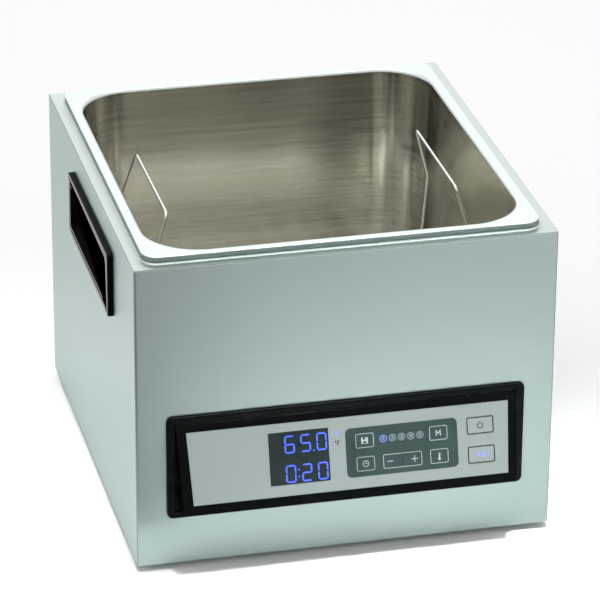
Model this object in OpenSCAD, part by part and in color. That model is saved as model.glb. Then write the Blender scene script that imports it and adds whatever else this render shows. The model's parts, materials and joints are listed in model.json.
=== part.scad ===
// Countertop sous vide water bath: folded steel housing, drop-in bath pan, tilted front console,
// recessed side handles and a lift-out wire rack. Millimetres, +Z up, the console faces -Y.
// The feet stand on z = 0, and x = 0, y = 0 is the middle of the whole machine's footprint.

/* [Housing] */
// Width of the sheet housing
body_w = 335; // [330:1:420]
// Depth of the sheet housing, without the console
body_d = 363; // [340:1:450]
// Height of the sheet housing, without the feet
body_h = 254; // [250:1:320]
// Thickness of the housing sheet
sheet_t = 1; // [0.8:0.1:1.2]
// Outside radius of the two front folds
fold_r = 2; // [1.5:0.1:4]
// Width of the turned-in flanges
flange_w = 14; // [12:1:18]

/* [Bath pan] */
// Gap from a side of the housing to the pan's rim
side_margin = 10; // [8:0.5:16]
// Gap from the front of the housing to the pan's rim
front_margin = 10; // [10:0.5:16]
// Gap from the back of the housing to the pan's rim
rear_margin = 8; // [8:0.5:16]
// Width of the flat rim, at the middle of a side
rim_w = 9; // [8:0.5:12]
// Height of the rim's top above the top sheet
rim_rise = 5.2; // [4.5:0.1:7]
// Radius of the rim's outer corners
rim_corner_r = 13; // [10:1:20]
// Radius where the rim rolls over into the wall
rim_bend_r = 3; // [2:0.5:4]
// Radius of the bath's corners, at the rim
bath_corner_r = 44; // [40:1:55]
// Depth of the bath, from the rim's top to the floor
bath_depth = 195; // [150:1:196]
// How far each wall leans in on its way down
wall_taper = 6; // [2:0.5:8]
// Radius between wall and floor
floor_r = 24; // [16:1:28]
// Thickness of the pan's sheet
pan_t = 1; // [0.8:0.1:1.2]
// Height of the raised seat under the rim
seat_h = 1; // [0.6:0.1:1.5]
// How far the seat shows outside the rim
seat_show = 1.3; // [0.8:0.1:2]

/* [Console] */
// Width of the console's flange
console_w = 287; // [280:1:290]
// Height of the console's flange
console_h = 88; // [84:1:92]
// Height of the flange's lower edge above the housing's lower edge
console_rise = 40; // [38:1:46]
// Radius of the flange's corners
console_r = 5; // [3:0.5:6]
// Width of the flange's visible band
console_band = 6.5; // [6:0.5:8]
// How far the flange stands proud of the front sheet
console_proud = 3; // [2:0.5:4]
// How far the panel's top edge stands proud of the front sheet
panel_proud = 3.5; // [3:0.5:5]
// Tilt of the panel, its lower edge outwards
panel_tilt = 16; // [10:1:18]
// Height of the panel, along its slope
panel_h = 72; // [70:0.5:74]
// How far each side of the panel leans in on its way down
panel_taper = 3.2; // [1:0.1:5]
// Width of the black border round the fascia
border_w = 7.6; // [6:0.1:9]
// Thickness of the console's walls
console_wall = 2.2; // [1.8:0.1:2.6]
// Depth of the fascia's outer face below the border
fascia_recess = 0.2; // [0.1:0.1:0.5]
// Thickness of the fascia plate and the key field
fascia_t = 1; // [0.8:0.1:1.2]

/* [Display] */
// Width of the display window
display_w = 47.8; // [46:0.1:50]
// Height of the display window
display_h = 41.8; // [40:0.1:43]
// Place of the display's middle, from the panel's middle
display_x = -40.8; // [-42:0.1:-40]
// Place of the display's middle, down from the panel's top edge
display_s = 34.5; // [34:0.1:36]
// Width of a digit
digit_w = 8.2; // [7:0.1:9]
// Height of a digit
digit_h = 14; // [12:0.1:15]
// Width of a lit segment
segment_w = 1.15; // [0.9:0.05:1.4]
// Distance between two digits
digit_pitch = 12.8; // [12:0.1:13]
// Distance between the two rows of digits
row_pitch = 23.3; // [22:0.1:24]

/* [Keys] */
// Width of the key field
field_w = 90; // [88:0.5:91]
// Height of the key field
field_h = 39.1; // [38:0.1:40]
// Radius of the key field's corners
field_r = 4; // [2:0.5:6]
// Place of the key field's middle, from the panel's middle
field_x = 41.6; // [41:0.1:43]
// Width of a small key
key_w = 14.8; // [13:0.1:15]
// Height of a small key
key_h = 11.6; // [10:0.1:12]
// Width of the power key and the start key
big_key_w = 22; // [20:0.1:23]
// Height of the power key and the start key
big_key_h = 13.8; // [12:0.1:14]
// Radius of a key's corners
key_r = 1.6; // [1:0.1:2]
// Gap all round a key
key_gap = 0.2; // [0.2:0.05:0.4]
// Travel of a key
key_travel = 0.4; // [0.2:0.05:0.5]
// Diameter of a programme light
light_d = 5.4; // [4:0.1:6]
// Distance between two programme lights
light_pitch = 7.4; // [7:0.1:7.6]

/* [Handles] */
// Length of a handle's ring
handle_l = 168; // [160:1:180]
// Height of a handle's ring
handle_h = 54; // [50:1:56]
// How far a handle stands proud of the side
handle_proud = 5; // [3:0.5:6]
// Length of the hand opening
grip_l = 150; // [130:1:150]
// Height of the hand opening
grip_h = 36.5; // [32:0.5:37]
// Depth of the hand pocket inside the housing
grip_depth = 15; // [12:0.5:15]
// Height of the finger hook above the opening
grip_hook = 3.5; // [2:0.5:4]
// Wall of the hand pocket
grip_wall = 2; // [1.5:0.1:2.5]
// Distance from the housing's top to the middle of a handle
handle_drop = 49.5; // [49:0.5:60]
// How far the handles sit in front of the housing's middle
handle_forward = 15; // [0:1:20]

/* [Rack] */
// How far the loose rack rests to the right of the bath's middle
rack_x = 5; // [-5:0.5:5]
// Gap from the rack to the bath's wall, at each side
rack_gap_x = 17; // [14:1:24]
// Gap from the rack to the bath's front wall
rack_gap_front = 66; // [50:1:70]
// Gap from the rack to the bath's rear wall
rack_gap_rear = 33; // [32:1:50]
// Height of the rack's grid above the bath's floor
rack_rise = 20; // [16:1:30]
// Diameter of the rack's frame wire
frame_wire_d = 4; // [3:0.5:5]
// Diameter of the rack's cross wires and bails
wire_d = 2.6; // [2:0.1:3]
// Widest gap between two cross wires
wire_gap = 22; // [15:1:30]
// Distance from the rim's top down to a bail's top bar
bail_drop = 22; // [15:1:60]
// Length of a bail's top bar
bail_top_l = 121; // [90:1:130]
// Height of a bail's bend above the grid
bail_bend_rise = 108; // [60:1:110]
// How far a bail's top leans in from its bend
bail_lean = 13; // [0:1:14]

/* [Feet] */
// Height of the gap under the housing
foot_h = 6; // [5:0.5:12]
// Diameter of a foot
foot_d = 26; // [20:1:32]
// Distance from a foot's middle to the housing's sides
foot_inset = 45; // [38:1:60]

/* [Heating] */
// Thickness of the heating band and mat
heater_t = 2.5; // [1.5:0.1:3]
// Height of the wall heating band
band_h = 60; // [40:1:60]
// Thickness of the wall insulation
jacket_t = 7; // [4:0.5:7]
// Thickness of the floor insulation
pad_t = 6; // [4:0.5:8]

/* [Electrics] */
// Width of the power board
board_w = 170; // [165:1:190]
// Depth of the power board
board_d = 110; // [100:1:120]
// Thickness of a circuit board
board_t = 1.6; // [1:0.1:2]
// Height of the spacers under the power board
spacer_h = 6; // [4:0.5:7]
// Width of the inlet's socket opening
socket_w = 24.5; // [24:0.1:25]
// Height of the inlet's socket opening
socket_h = 16.5; // [16:0.1:17]
// How far the inlet's flange stands proud of the rear panel
inlet_proud = 2.5; // [1.5:0.1:3]
// Diameter of a mains wire
mains_wire_d = 3; // [2.4:0.1:3.4]
// Diameter of a signal wire
signal_wire_d = 2; // [1.4:0.1:2.4]

/* [Fits] */
// Clearance round a piece that drops into a window
fit = 0.2; // [0.1:0.05:0.4]
// Clearance round a light guide or a bonded piece
light_fit = 0.1; // [0.05:0.05:0.15]
// Radial clearance of a screw in its hole
screw_fit = 0.25; // [0.1:0.05:0.3]
// Shank diameter of the M3 screws and studs
screw_d = 3; // [2.8:0.1:3]

/* [Hidden] */
$fn = 64;
cut = 1; // how far a cutting tool runs past the face it cuts
half_w = body_w / 2;
console_reach = panel_proud + panel_h * sin(panel_tilt);
centre_shift = (console_reach - inlet_proud) / 2;
front_y = centre_shift - body_d / 2;
back_y = centre_shift + body_d / 2;
top_z = foot_h + body_h;
under_top = top_z - sheet_t;

// bath pan
rim_top = top_z + rim_rise;
floor_z = rim_top - bath_depth;
rim_half_x = half_w - side_margin;
rim_half_y = (body_d - front_margin - rear_margin) / 2;
bath_y = centre_shift + (front_margin - rear_margin) / 2;
bath_half_x = rim_half_x - rim_w;
bath_half_y = rim_half_y - rim_w;
corner_x = bath_half_x - bath_corner_r;
corner_y = bath_half_y - bath_corner_r;
wall_top_z = rim_top - rim_bend_r;
wall_low_z = floor_z + floor_r;
wall_low_r = bath_corner_r - wall_taper;
opening_gap = 4;   // from the bath's wall to the edge of the opening in the top sheet
lip_gap = 0.2;     // between the rim's lip and its seat
lip_z = top_z + seat_h + lip_gap;
flange_drop = 12;  // depth of the top frame's turned-down flange
vent_w = 3;
vent_l = 30;
vent_pitch = 8;
vent_x = 75;       // from the middle of the rear panel to the middle of a vent
vent_shift = 20;   // how far the lower vents sit to the left, clear of the inlet's wires
vent_rise = 35;    // from the rear panel's middle height to the middle of a vent
base_vent_w = 3.5;
base_vent_l = 40;
base_vent_pitch = 9;
base_vent_front = 70;
base_vent_rear = 60;
panel_screw_l = 6;
foot_taper = 4;
foot_pocket_d = 10;
foot_screw_d = screw_d + 1;
foot_screw_l = 9;
foot_head_d = 7.5;
foot_head_h = 2.2;
foot_nut_d = 8;
foot_nut_h = 3.2;
nut_d = 6.2;
nut_h = 2.4;
nut_fit = 0.1;
clamp_stud_l = 8;
clamp_tail = 16;   // length of the clamp's arm down the pan's wall
clamp_reach = 5;   // from a clamp's screw to its outer edge
clamp_x = bath_half_x + opening_gap + 6;
clamp_y = 60;
clamp_t = 1.5;
clamp_w = 20;

// console: x runs right, s runs down the slope from the panel's top edge, n points outwards
panel_half = console_w / 2 - console_band - fit;
panel_y = front_y - panel_proud;
panel_z = foot_h + console_rise + console_h - console_band
    + (panel_proud - console_proud) * sin(panel_tilt);
console_z = foot_h + console_rise + console_h / 2;
console_back_y = front_y + 9;
web_t = 2;
web_back = -fascia_recess - fascia_t - web_t;
fascia_top_s = border_w - 1.1;
fascia_end_s = panel_h - border_w;
board_n = web_back - 8;
console_board_w = 256;
console_board_h = 57;
boss_d = 6;
boss_x = 124;
boss_s = [12, 60];
pilot_d = 2.4;
small_screw_d = 2.2;
small_screw_l = 7;
small_head_d = 4.4;
small_head_h = 1.4;
stud_x = console_w / 2 - console_band / 2;
stud_rise = 30;

// figures, to the right of the display's middle and a little below it
digits_shift = 5.6;
digits_drop = 1;
row_up_s = display_s - row_pitch / 2 + digits_drop;
row_low_s = display_s + row_pitch / 2 + digits_drop;
dot_d = 1.3;
segment_joint = 0.5; // gap between two segments' ends

// keys: [place x, place s, width, height]
row_one_s = 26.8;
row_two_s = 45.3;
column_x = 29.7;
pair_w = 31.8;
big_key_x = 105.4;
save_key = [field_x - column_x, row_one_s, key_w, key_h];
memory_key = [field_x + column_x, row_one_s, key_w, key_h];
timer_key = [field_x - column_x, row_two_s, key_w, key_h];
temperature_key = [field_x + column_x, row_two_s, key_w, key_h];
pair_key_w = (pair_w - 2 * key_gap) / 2;
minus_key = [field_x - pair_w / 4, row_two_s, pair_key_w, key_h];
plus_key = [field_x + pair_w / 4, row_two_s, pair_key_w, key_h];
power_key = [big_key_x, 24.1, big_key_w, big_key_h];
start_key = [big_key_x, 47.5, big_key_w, big_key_h];
field_keys = [save_key, memory_key, timer_key, minus_key, plus_key, temperature_key];
fascia_keys = [power_key, start_key];
all_keys = concat(field_keys, fascia_keys);
field_s = 35.7;
skirt = 1;          // how far a key's skirt reaches past its cap
skirt_t = 0.8;
skirt_gap = 0.3;    // between the skirt and the web it stops against
stem_d = 4;
switch_w = 6;
switch_body_h = 3.4;
switch_button_d = 3.4;
switch_gap = 0.1;   // left over the switch when the key is right down
switch_top = board_n + 4.2;
stem_end = switch_top + key_travel + switch_gap;

// unit marks beside the display
mark_x = -9.8;
mark_s = [19.2, 26.6];
mark_h = 3.6;
mark_stroke = 0.55;

// handles
handle_corner_r = 3;  // corners of the flange and of the opening in it
handle_y = centre_shift - handle_forward;
handle_z = top_z - handle_drop;
handle_screw_y = (handle_l + grip_l + 2 * grip_wall) / 4 + 0.5;
handle_screw_z = 15;

// rack
rack_half_x = bath_half_x - rack_gap_x;
rack_front = bath_y - bath_half_y + rack_gap_front;
rack_back = bath_y + bath_half_y - rack_gap_rear;
rack_y = (rack_front + rack_back) / 2;
rack_half_y = (rack_back - rack_front) / 2;
rack_z = floor_z + rack_rise;
rack_corner_r = 18;
rack_foot_gap = 2;     // from the bath's straight wall's end to a foot
wire_cross = 0.8;     // how far the crossing wires sit above or below the frame's middle
bail_splay = 16;      // how much longer a bail is at its bends than at its top
rack_foot_x = corner_x - rack_foot_gap;
bail_top_z = rim_top - bail_drop;
bail_bend_z = rack_z + bail_bend_rise;
bail_bend_l = bail_top_l + bail_splay;
bail_foot_l = 2 * rack_half_y - 2 * rack_corner_r;

// heating
pan_wall_gap = 0.2;
band_z = wall_low_z + 4;
jacket_z = wall_low_z;
jacket_top = handle_z - handle_h / 2 - 8;
mat_half_x = corner_x + wall_low_r - floor_r - 4;
mat_half_y = corner_y + wall_low_r - floor_r - 4;
mat_corner_r = 12;
mat_z = floor_z - pan_t - heater_t;
pad_z = mat_z - pad_t;
cutout_d = 16;
cutout_h = 6;
probe_d = 5;
probe_l = 45;
probe_x = 60;
probe_slot = 18; // room in the floor pad for the probe's lead

// electrics on the base plate
base_top = foot_h + 2 * sheet_t;
power_x = -45;
power_y = centre_shift + 15;
power_z = base_top + spacer_h;
power_top = power_z + board_t;
spacer_x = board_w / 2 - 6;
spacer_y = board_d / 2 - 6;
inlet_x = 100;
inlet_z = foot_h + 30;
inlet_flange_w = 50;
inlet_flange_h = 26;
inlet_depth = 20;
inlet_wall = 2.5;
shell_w = socket_w + 2 * inlet_wall;
shell_h = socket_h + 2 * inlet_wall;
pin_tail = 8;      // how far a pin reaches behind the inlet
pin_w = 2;
pin_h = 4;
pin_drop = 2;      // the two outer pins sit lower and the earth pin higher by this much
pin_fit = 0.05;
inlet_screw_x = 20;
inlet_screw_l = 7;
pin_pitch = 7;
pin_l = 15;
block_x = 95;
block_y = back_y - 75;
earth_x = 140;
earth_y = back_y - 110;
earth_stud_h = 12;
earth_stud_d = 4;
pin_end_y = back_y - inlet_depth - pin_tail;
core_w = 42;
core_d = 30;
core_h = 34;
core_leg = 7;
coil_gap = 0.3;
ribbon_w = 24;
ribbon_x = -85;
ribbon_s = 48;
ribbon_t = 1;
plug_h = 4;
plug_w = 6;
plug_wall = 2;
connector_h = 8;
connector_y = power_y - board_d / 2 + 5;

// plate screws
rear_screw_x = half_w - sheet_t - flange_w / 2;
rear_screw_z = [foot_h + 22, foot_h + body_h / 2, foot_h + body_h - 24];
base_screw_x = half_w - sheet_t - flange_w / 2;
base_screw_y = [front_y + 40, centre_shift, back_y - 40];
head_d = 5.6;
head_h = 1.8;

steel = [0.78, 0.82, 0.81];
dark_steel = [0.55, 0.58, 0.58];
black = [0.06, 0.07, 0.07];
rubber = [0.1, 0.1, 0.1];
smoke = [0.16, 0.18, 0.19];
field_green = [0.22, 0.29, 0.28];
lit_blue = [0.35, 0.4, 1];
board_green = [0.1, 0.35, 0.2];
copper = [0.8, 0.5, 0.3];
wool = [0.9, 0.88, 0.8];

// ---- shared shapes ----

// A rectangle with round corners, centred.
module rounded_rect(w, d, r) {
    square([w - 2 * r, d], center = true);
    square([w, d - 2 * r], center = true);
    for (x = [-1, 1], y = [-1, 1])
        translate([x * (w / 2 - r), y * (d / 2 - r)]) circle(r);
}

// The quarter of a ring that lies in the first quadrant, turned about the ring's centre.
module quarter_ring(outer_r, t, turn) {
    rotate(turn) intersection() {
        difference() {
            circle(outer_r);
            circle(outer_r - t);
        }
        square(outer_r + cut);
    }
}

// Sweeps a profile round a rectangle: its x is measured outwards from the corner centres.
module swept_round(half_x, half_y) {
    for (side = [0 : 3]) {
        reach_x = side % 2 == 0 ? half_x : half_y;
        reach_y = side % 2 == 0 ? half_y : half_x;
        rotate(90 * side) translate([reach_x, reach_y, 0]) {
            rotate_extrude(angle = 90) children();
            rotate([90, 0, 0]) linear_extrude(2 * reach_y) children();
        }
    }
}

function unit(v) = v / norm(v);

// The path with each inner corner rounded off over a length of bend, in steps.
function rounded_path(points, bend, steps = 4) = concat([points[0]],
    [for (i = [1 : 1 : len(points) - 2])
        let (corner = points[i],
            before = unit(points[i - 1] - corner), after = unit(points[i + 1] - corner))
        for (k = [0 : steps])
            let (t = k / steps) corner + bend * ((1 - t) * (1 - t) * before + t * t * after)],
    [points[len(points) - 1]]);

function way_at(path, i) = unit(path[min(i + 1, len(path) - 1)] - path[max(i - 1, 0)]);

// One direction square to the path at each point, carried along without twist.
function square_to(path, i, last) = i == len(path) ? [] :
    let (way = way_at(path, i), side = unit(last - (last * way) * way))
    concat([side], square_to(path, i + 1, side));

// A round wire along a list of points, bent smoothly at each corner.
module wire(points, d, bend = 4, sides = 12) {
    path = rounded_path(points, bend);
    start = way_at(path, 0);
    seed = abs(start[2]) < 0.9 ? [0, 0, 1] : [1, 0, 0];
    sides_of = square_to(path, 0, seed);
    rings = len(path);
    verts = [for (i = [0 : rings - 1])
        let (a = sides_of[i], b = cross(way_at(path, i), a))
        for (k = [0 : sides - 1]) path[i] + d / 2 * (cos(360 * k / sides) * a + sin(360 * k / sides) * b)];
    walls = [for (i = [0 : rings - 2], k = [0 : sides - 1])
        let (m = (k + 1) % sides) [i * sides + k, (i + 1) * sides + k, (i + 1) * sides + m, i * sides + m]];
    start_cap = [for (k = [0 : sides - 1]) k];
    end_cap = [for (k = [0 : sides - 1]) rings * sides - 1 - k];
    polyhedron(verts, concat(walls, [start_cap, end_cap]));
}

// Puts children on the sloping panel: x right, s down from its top edge, n outwards.
module on_panel(x = 0, s = 0, n = 0) {
    translate([0, panel_y, panel_z]) rotate([90 - panel_tilt, 0, 0]) translate([x, -s, n]) children();
}

// Stands a flat outline up so that it lies in the front view and is extruded towards the back.
module facing_front(y, t) {
    translate([0, y + t, 0]) rotate([90, 0, 0]) linear_extrude(t) children();
}

// Lays an outline on a side wall: its x runs back and its y runs up, extruded outwards.
module facing_side(x, t) {
    translate([x, 0, 0]) rotate([90, 0, 90]) linear_extrude(t) children();
}

// A pan-head screw along +Z with its head under z = 0 and a cross recess in the head.
module pan_screw(d, length, head, height) {
    recess = head * 0.55;
    slot = 0.8;
    difference() {
        translate([0, 0, -height]) cylinder(d = head, h = height);
        translate([-recess / 2, -slot / 2, -height - cut]) cube([recess, slot, cut + height / 2]);
        translate([-slot / 2, -recess / 2, -height - cut]) cube([slot, recess, cut + height / 2]);
    }
    cylinder(d = d, h = length);
}

// The housing's plan, inset all round except at its open back.
module body_plan(inset) {
    r = max(fold_r - inset, 0.1);
    w = body_w - 2 * inset;
    difference() {
        translate([0, centre_shift + fold_r]) rounded_rect(w, body_d + 2 * fold_r - 2 * inset, r);
        translate([-body_w, back_y]) square([2 * body_w, body_d]);
    }
}

// The room inside the housing's folds, in plan, inset further all round.
module inner_plan(inset) {
    difference() {
        body_plan(sheet_t + fit + inset);
        translate([-body_w, back_y - 2 * sheet_t - fit - inset]) square([2 * body_w, body_d]);
    }
}

// ---- housing ----

module console_window() {
    w = 2 * panel_half + 2 * fit;
    low = panel_z - panel_h * cos(panel_tilt) - (console_reach + sheet_t) * tan(panel_tilt) - fit;
    high = panel_z - panel_proud * tan(panel_tilt) + fit;
    translate([-w / 2, front_y - cut, low]) cube([w, sheet_t + 2 * cut, high - low]);
    for (x = [-1, 1], z = [-1, 1])
        translate([x * stud_x, front_y - cut, console_z + z * stud_rise])
            rotate([-90, 0, 0]) cylinder(d = screw_d + 2 * screw_fit, h = sheet_t + 2 * cut);
}

module grip_outline(grow) {
    translate([handle_y, handle_z + grip_hook / 2])
        rounded_rect(grip_l + 2 * grow, grip_h + grip_hook + 2 * grow, handle_corner_r + grow);
}

module handle_screw_places() {
    for (y = [-1, 1], z = [-1, 1])
        translate([0, handle_y + y * handle_screw_y, handle_z + z * handle_screw_z])
            rotate([0, 90, 0]) children();
}

module handle_window() {
    facing_side(half_w - sheet_t - cut, sheet_t + 2 * cut) grip_outline(grip_wall + fit);
    translate([half_w - sheet_t - cut, 0, 0])
        handle_screw_places() cylinder(d = screw_d + 2 * screw_fit, h = sheet_t + 2 * cut);
}

module base_screw_places() {
    for (x = [-1, 1], y = base_screw_y) translate([x * base_screw_x, y, foot_h]) children();
}

module rear_screw_places() {
    for (x = [-1, 1], z = rear_screw_z) translate([x * rear_screw_x, back_y, z])
        rotate([90, 0, 0]) children();
}

module housing_wrap() {
    color(steel) difference() {
        union() {
            translate([0, 0, foot_h]) linear_extrude(body_h - sheet_t) difference() {
                body_plan(0);
                body_plan(sheet_t);
            }
            // turned-in flanges at the foot, on three sides
            translate([0, 0, foot_h]) linear_extrude(sheet_t) difference() {
                body_plan(0);
                translate([-half_w + sheet_t + flange_w, front_y + sheet_t + flange_w])
                    square([body_w - 2 * sheet_t - 2 * flange_w, body_d]);
                translate([-half_w + sheet_t, back_y - sheet_t]) square([body_w - 2 * sheet_t, body_d]);
            }
            // turned-in flanges at the back edges
            for (side = [-1, 1])
                translate([side * (half_w - sheet_t - flange_w / 2), back_y - 1.5 * sheet_t,
                           foot_h + (body_h - sheet_t) / 2])
                    cube([flange_w, sheet_t, body_h - sheet_t], center = true);
        }
        console_window();
        handle_window();
        mirror([1, 0, 0]) handle_window();
        base_screw_places() sheet_hole();
        rear_screw_places() translate([0, 0, -cut])
            cylinder(d = screw_d + 2 * screw_fit, h = 2 * sheet_t + 2 * cut);
    }
}

module seat_plan() {
    rounded_rect(2 * (rim_half_x + seat_show), 2 * (rim_half_y + seat_show), rim_corner_r + seat_show);
}

module opening_plan() {
    rounded_rect(2 * (bath_half_x + opening_gap), 2 * (bath_half_y + opening_gap),
                 bath_corner_r + opening_gap);
}

module clamp_places() {
    for (x = [-1, 1], y = [-1, 1]) translate([x * clamp_x, bath_y + y * clamp_y, 0]) children();
}

module top_frame() {
    color(steel) {
        difference() {
            union() {
                translate([0, 0, under_top]) linear_extrude(sheet_t) body_plan(0);
                translate([0, bath_y, top_z]) linear_extrude(seat_h) seat_plan();
            }
            translate([0, bath_y, under_top - cut]) linear_extrude(sheet_t + seat_h + 2 * cut)
                opening_plan();
        }
        translate([0, 0, under_top - flange_drop]) linear_extrude(flange_drop) difference() {
            inner_plan(0);
            inner_plan(sheet_t);
        }
        clamp_places() translate([0, 0, under_top - clamp_stud_l]) cylinder(d = screw_d, h = clamp_stud_l);
    }
}

module sheet_hole() {
    translate([0, 0, -cut]) cylinder(d = screw_d + 2 * screw_fit, h = sheet_t + 2 * cut);
}

module vent_slots(count, pitch, slot_w, slot_l) {
    for (i = [0 : count - 1])
        translate([(i - (count - 1) / 2) * pitch, 0]) {
            square([slot_w, slot_l - slot_w], center = true);
            for (end = [-1, 1]) translate([0, end * (slot_l - slot_w) / 2]) circle(d = slot_w);
        }
}

module rear_panel() {
    panel_w = body_w - 2 * sheet_t - 2 * fit;
    tall = body_h - sheet_t - fit;
    color(steel) difference() {
        union() {
            translate([-panel_w / 2, back_y - sheet_t, foot_h]) cube([panel_w, sheet_t, tall]);
            translate([-panel_w / 2 + flange_w + fit, back_y - sheet_t - flange_w, foot_h])
                cube([panel_w - 2 * flange_w - 2 * fit, flange_w, sheet_t]);
        }
        facing_front(back_y - sheet_t - cut, sheet_t + 2 * cut) {
            for (x = [-1, 1]) translate([x * vent_x, foot_h + body_h / 2 + vent_rise])
                vent_slots(12, vent_pitch, vent_w, vent_l);
            for (x = [-1, 1]) translate([x * vent_x - vent_shift, foot_h + body_h / 2 - vent_rise])
                vent_slots(9, vent_pitch, vent_w, vent_l);
            translate([inlet_x, inlet_z])
                square([shell_w + 2 * screw_fit, shell_h + 2 * screw_fit], center = true);
            for (x = [-1, 1])
                translate([inlet_x + x * inlet_screw_x, inlet_z]) circle(d = screw_d + 2 * screw_fit);
        }
        rear_screw_places() sheet_hole();
    }
}

module foot_places() {
    for (x = [-1, 1], y = [front_y + foot_inset, back_y - foot_inset])
        translate([x * (half_w - foot_inset), y, 0]) children();
}

module base_plate() {
    plate_z = foot_h + sheet_t;
    color(dark_steel) {
        difference() {
            translate([0, 0, plate_z]) linear_extrude(sheet_t) inner_plan(0);
            translate([0, 0, plate_z - cut]) {
                linear_extrude(sheet_t + 2 * cut) {
                    translate([0, front_y + base_vent_front])
                        vent_slots(14, base_vent_pitch, base_vent_w, base_vent_l);
                    translate([0, back_y - base_vent_rear])
                        vent_slots(8, base_vent_pitch, base_vent_w, base_vent_l);
                }
                foot_places() cylinder(d = foot_screw_d + 2 * screw_fit, h = sheet_t + 2 * cut);
            }
            base_screw_places() translate([0, 0, sheet_t - cut])
                cylinder(d = screw_d + 2 * screw_fit, h = sheet_t + 2 * cut);
        }
        translate([earth_x, earth_y, base_top]) cylinder(d = earth_stud_d, h = earth_stud_h);
    }
}

module panel_screws() {
    color(dark_steel) {
        base_screw_places() pan_screw(screw_d, panel_screw_l, head_d, head_h);
        rear_screw_places() pan_screw(screw_d, panel_screw_l, head_d, head_h);
    }
}

module rubber_feet() {
    tall = foot_h + sheet_t;
    color(rubber) foot_places() difference() {
        cylinder(d1 = foot_d - foot_taper, d2 = foot_d, h = tall);
        translate([0, 0, -cut]) cylinder(d = foot_pocket_d, h = tall / 2 + cut);
        cylinder(d = foot_screw_d + 2 * screw_fit, h = tall + cut);
    }
}

module foot_screws() {
    head_z = (foot_h + sheet_t) / 2;
    color(dark_steel) foot_places() {
        translate([0, 0, head_z]) pan_screw(foot_screw_d, foot_screw_l, foot_head_d, foot_head_h);
        translate([0, 0, base_top]) difference() {
            cylinder(d = foot_nut_d, h = foot_nut_h, $fn = 6);
            translate([0, 0, -cut]) cylinder(d = foot_screw_d + nut_fit, h = foot_nut_h + 2 * cut, $fn = 48);
        }
    }
}

// ---- bath pan ----

// Inner radius of the wall at a height, measured from the corner centre.
function wall_r(z) = bath_corner_r - wall_taper * (wall_top_z - z) / (wall_top_z - wall_low_z);

// A layer that follows the outside of the wall, from one height to another.
module wall_layer(z0, z1, gap, t) {
    swept_round(corner_x, corner_y) polygon([
        [wall_r(z0) + gap, z0], [wall_r(z0) + gap + t, z0],
        [wall_r(z1) + gap + t, z1], [wall_r(z1) + gap, z1]]);
}

module pan_profile() {
    translate([bath_corner_r + rim_bend_r, wall_top_z]) quarter_ring(rim_bend_r, pan_t, 90);
    polygon([[bath_corner_r, wall_top_z], [bath_corner_r + pan_t, wall_top_z],
        [wall_low_r + pan_t, wall_low_z], [wall_low_r, wall_low_z]]);
    translate([wall_low_r - floor_r, wall_low_z]) quarter_ring(floor_r + pan_t, pan_t, 270);
    translate([0, floor_z - pan_t]) square([wall_low_r - floor_r, pan_t]);
}

module bath_pan() {
    rim_in_r = bath_corner_r + rim_bend_r;
    color(steel) translate([0, bath_y, 0]) {
        swept_round(corner_x, corner_y) pan_profile();
        translate([-corner_x, -corner_y, floor_z - pan_t]) cube([2 * corner_x, 2 * corner_y, pan_t]);
        translate([0, 0, rim_top - pan_t]) linear_extrude(pan_t) difference() {
            rounded_rect(2 * rim_half_x, 2 * rim_half_y, rim_corner_r);
            rounded_rect(2 * (corner_x + rim_in_r), 2 * (corner_y + rim_in_r), rim_in_r);
        }
        translate([0, 0, lip_z]) linear_extrude(rim_top - pan_t - lip_z) difference() {
            rounded_rect(2 * rim_half_x, 2 * rim_half_y, rim_corner_r);
            rounded_rect(2 * (rim_half_x - pan_t), 2 * (rim_half_y - pan_t), rim_corner_r - pan_t);
        }
    }
}

module rim_gasket() {
    inset = pan_t + fit;
    color(rubber) translate([0, bath_y, top_z + seat_h]) linear_extrude(rim_top - pan_t - top_z - seat_h)
        difference() {
            rounded_rect(2 * (rim_half_x - inset), 2 * (rim_half_y - inset), rim_corner_r - inset);
            opening_plan();
        }
}

module pan_clamps() {
    inner = bath_half_x + pan_t + 2 * fit;
    outer = clamp_x + clamp_reach;
    color(dark_steel) for (side = [0, 1]) mirror([side, 0, 0])
        for (y = [-1, 1]) translate([0, bath_y + y * clamp_y - clamp_w / 2, 0]) {
            difference() {
                translate([inner, 0, under_top - clamp_t]) cube([outer - inner, clamp_w, clamp_t]);
                translate([clamp_x, clamp_w / 2, under_top - clamp_t - cut])
                    cylinder(d = screw_d + 2 * screw_fit, h = clamp_t + 2 * cut);
            }
            translate([inner, 0, under_top - clamp_tail]) cube([clamp_t, clamp_w, clamp_tail - clamp_t]);
        }
}

module nut() {
    difference() {
        cylinder(d = nut_d, h = nut_h, $fn = 6);
        translate([0, 0, -cut]) cylinder(d = screw_d + nut_fit, h = nut_h + 2 * cut, $fn = 48);
    }
}

module fixing_nuts() {
    color(dark_steel) {
        clamp_places() translate([0, 0, under_top - clamp_t - nut_h]) nut();
        for (x = [-1, 1], z = [-1, 1])
            translate([x * stud_x, front_y + sheet_t, console_z + z * stud_rise]) rotate([-90, 0, 0]) nut();
    }
}

module floor_heating_mat() {
    color(copper) translate([0, bath_y, mat_z]) linear_extrude(heater_t)
        rounded_rect(2 * mat_half_x, 2 * mat_half_y, mat_corner_r);
}

module wall_heating_band() {
    color(copper) translate([0, bath_y, 0])
        wall_layer(band_z, band_z + band_h, pan_t + pan_wall_gap, heater_t);
}

module insulation_jacket() {
    color(wool) translate([0, bath_y, 0])
        wall_layer(jacket_z, jacket_top, pan_t + 2 * pan_wall_gap + heater_t, jacket_t);
}

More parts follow.
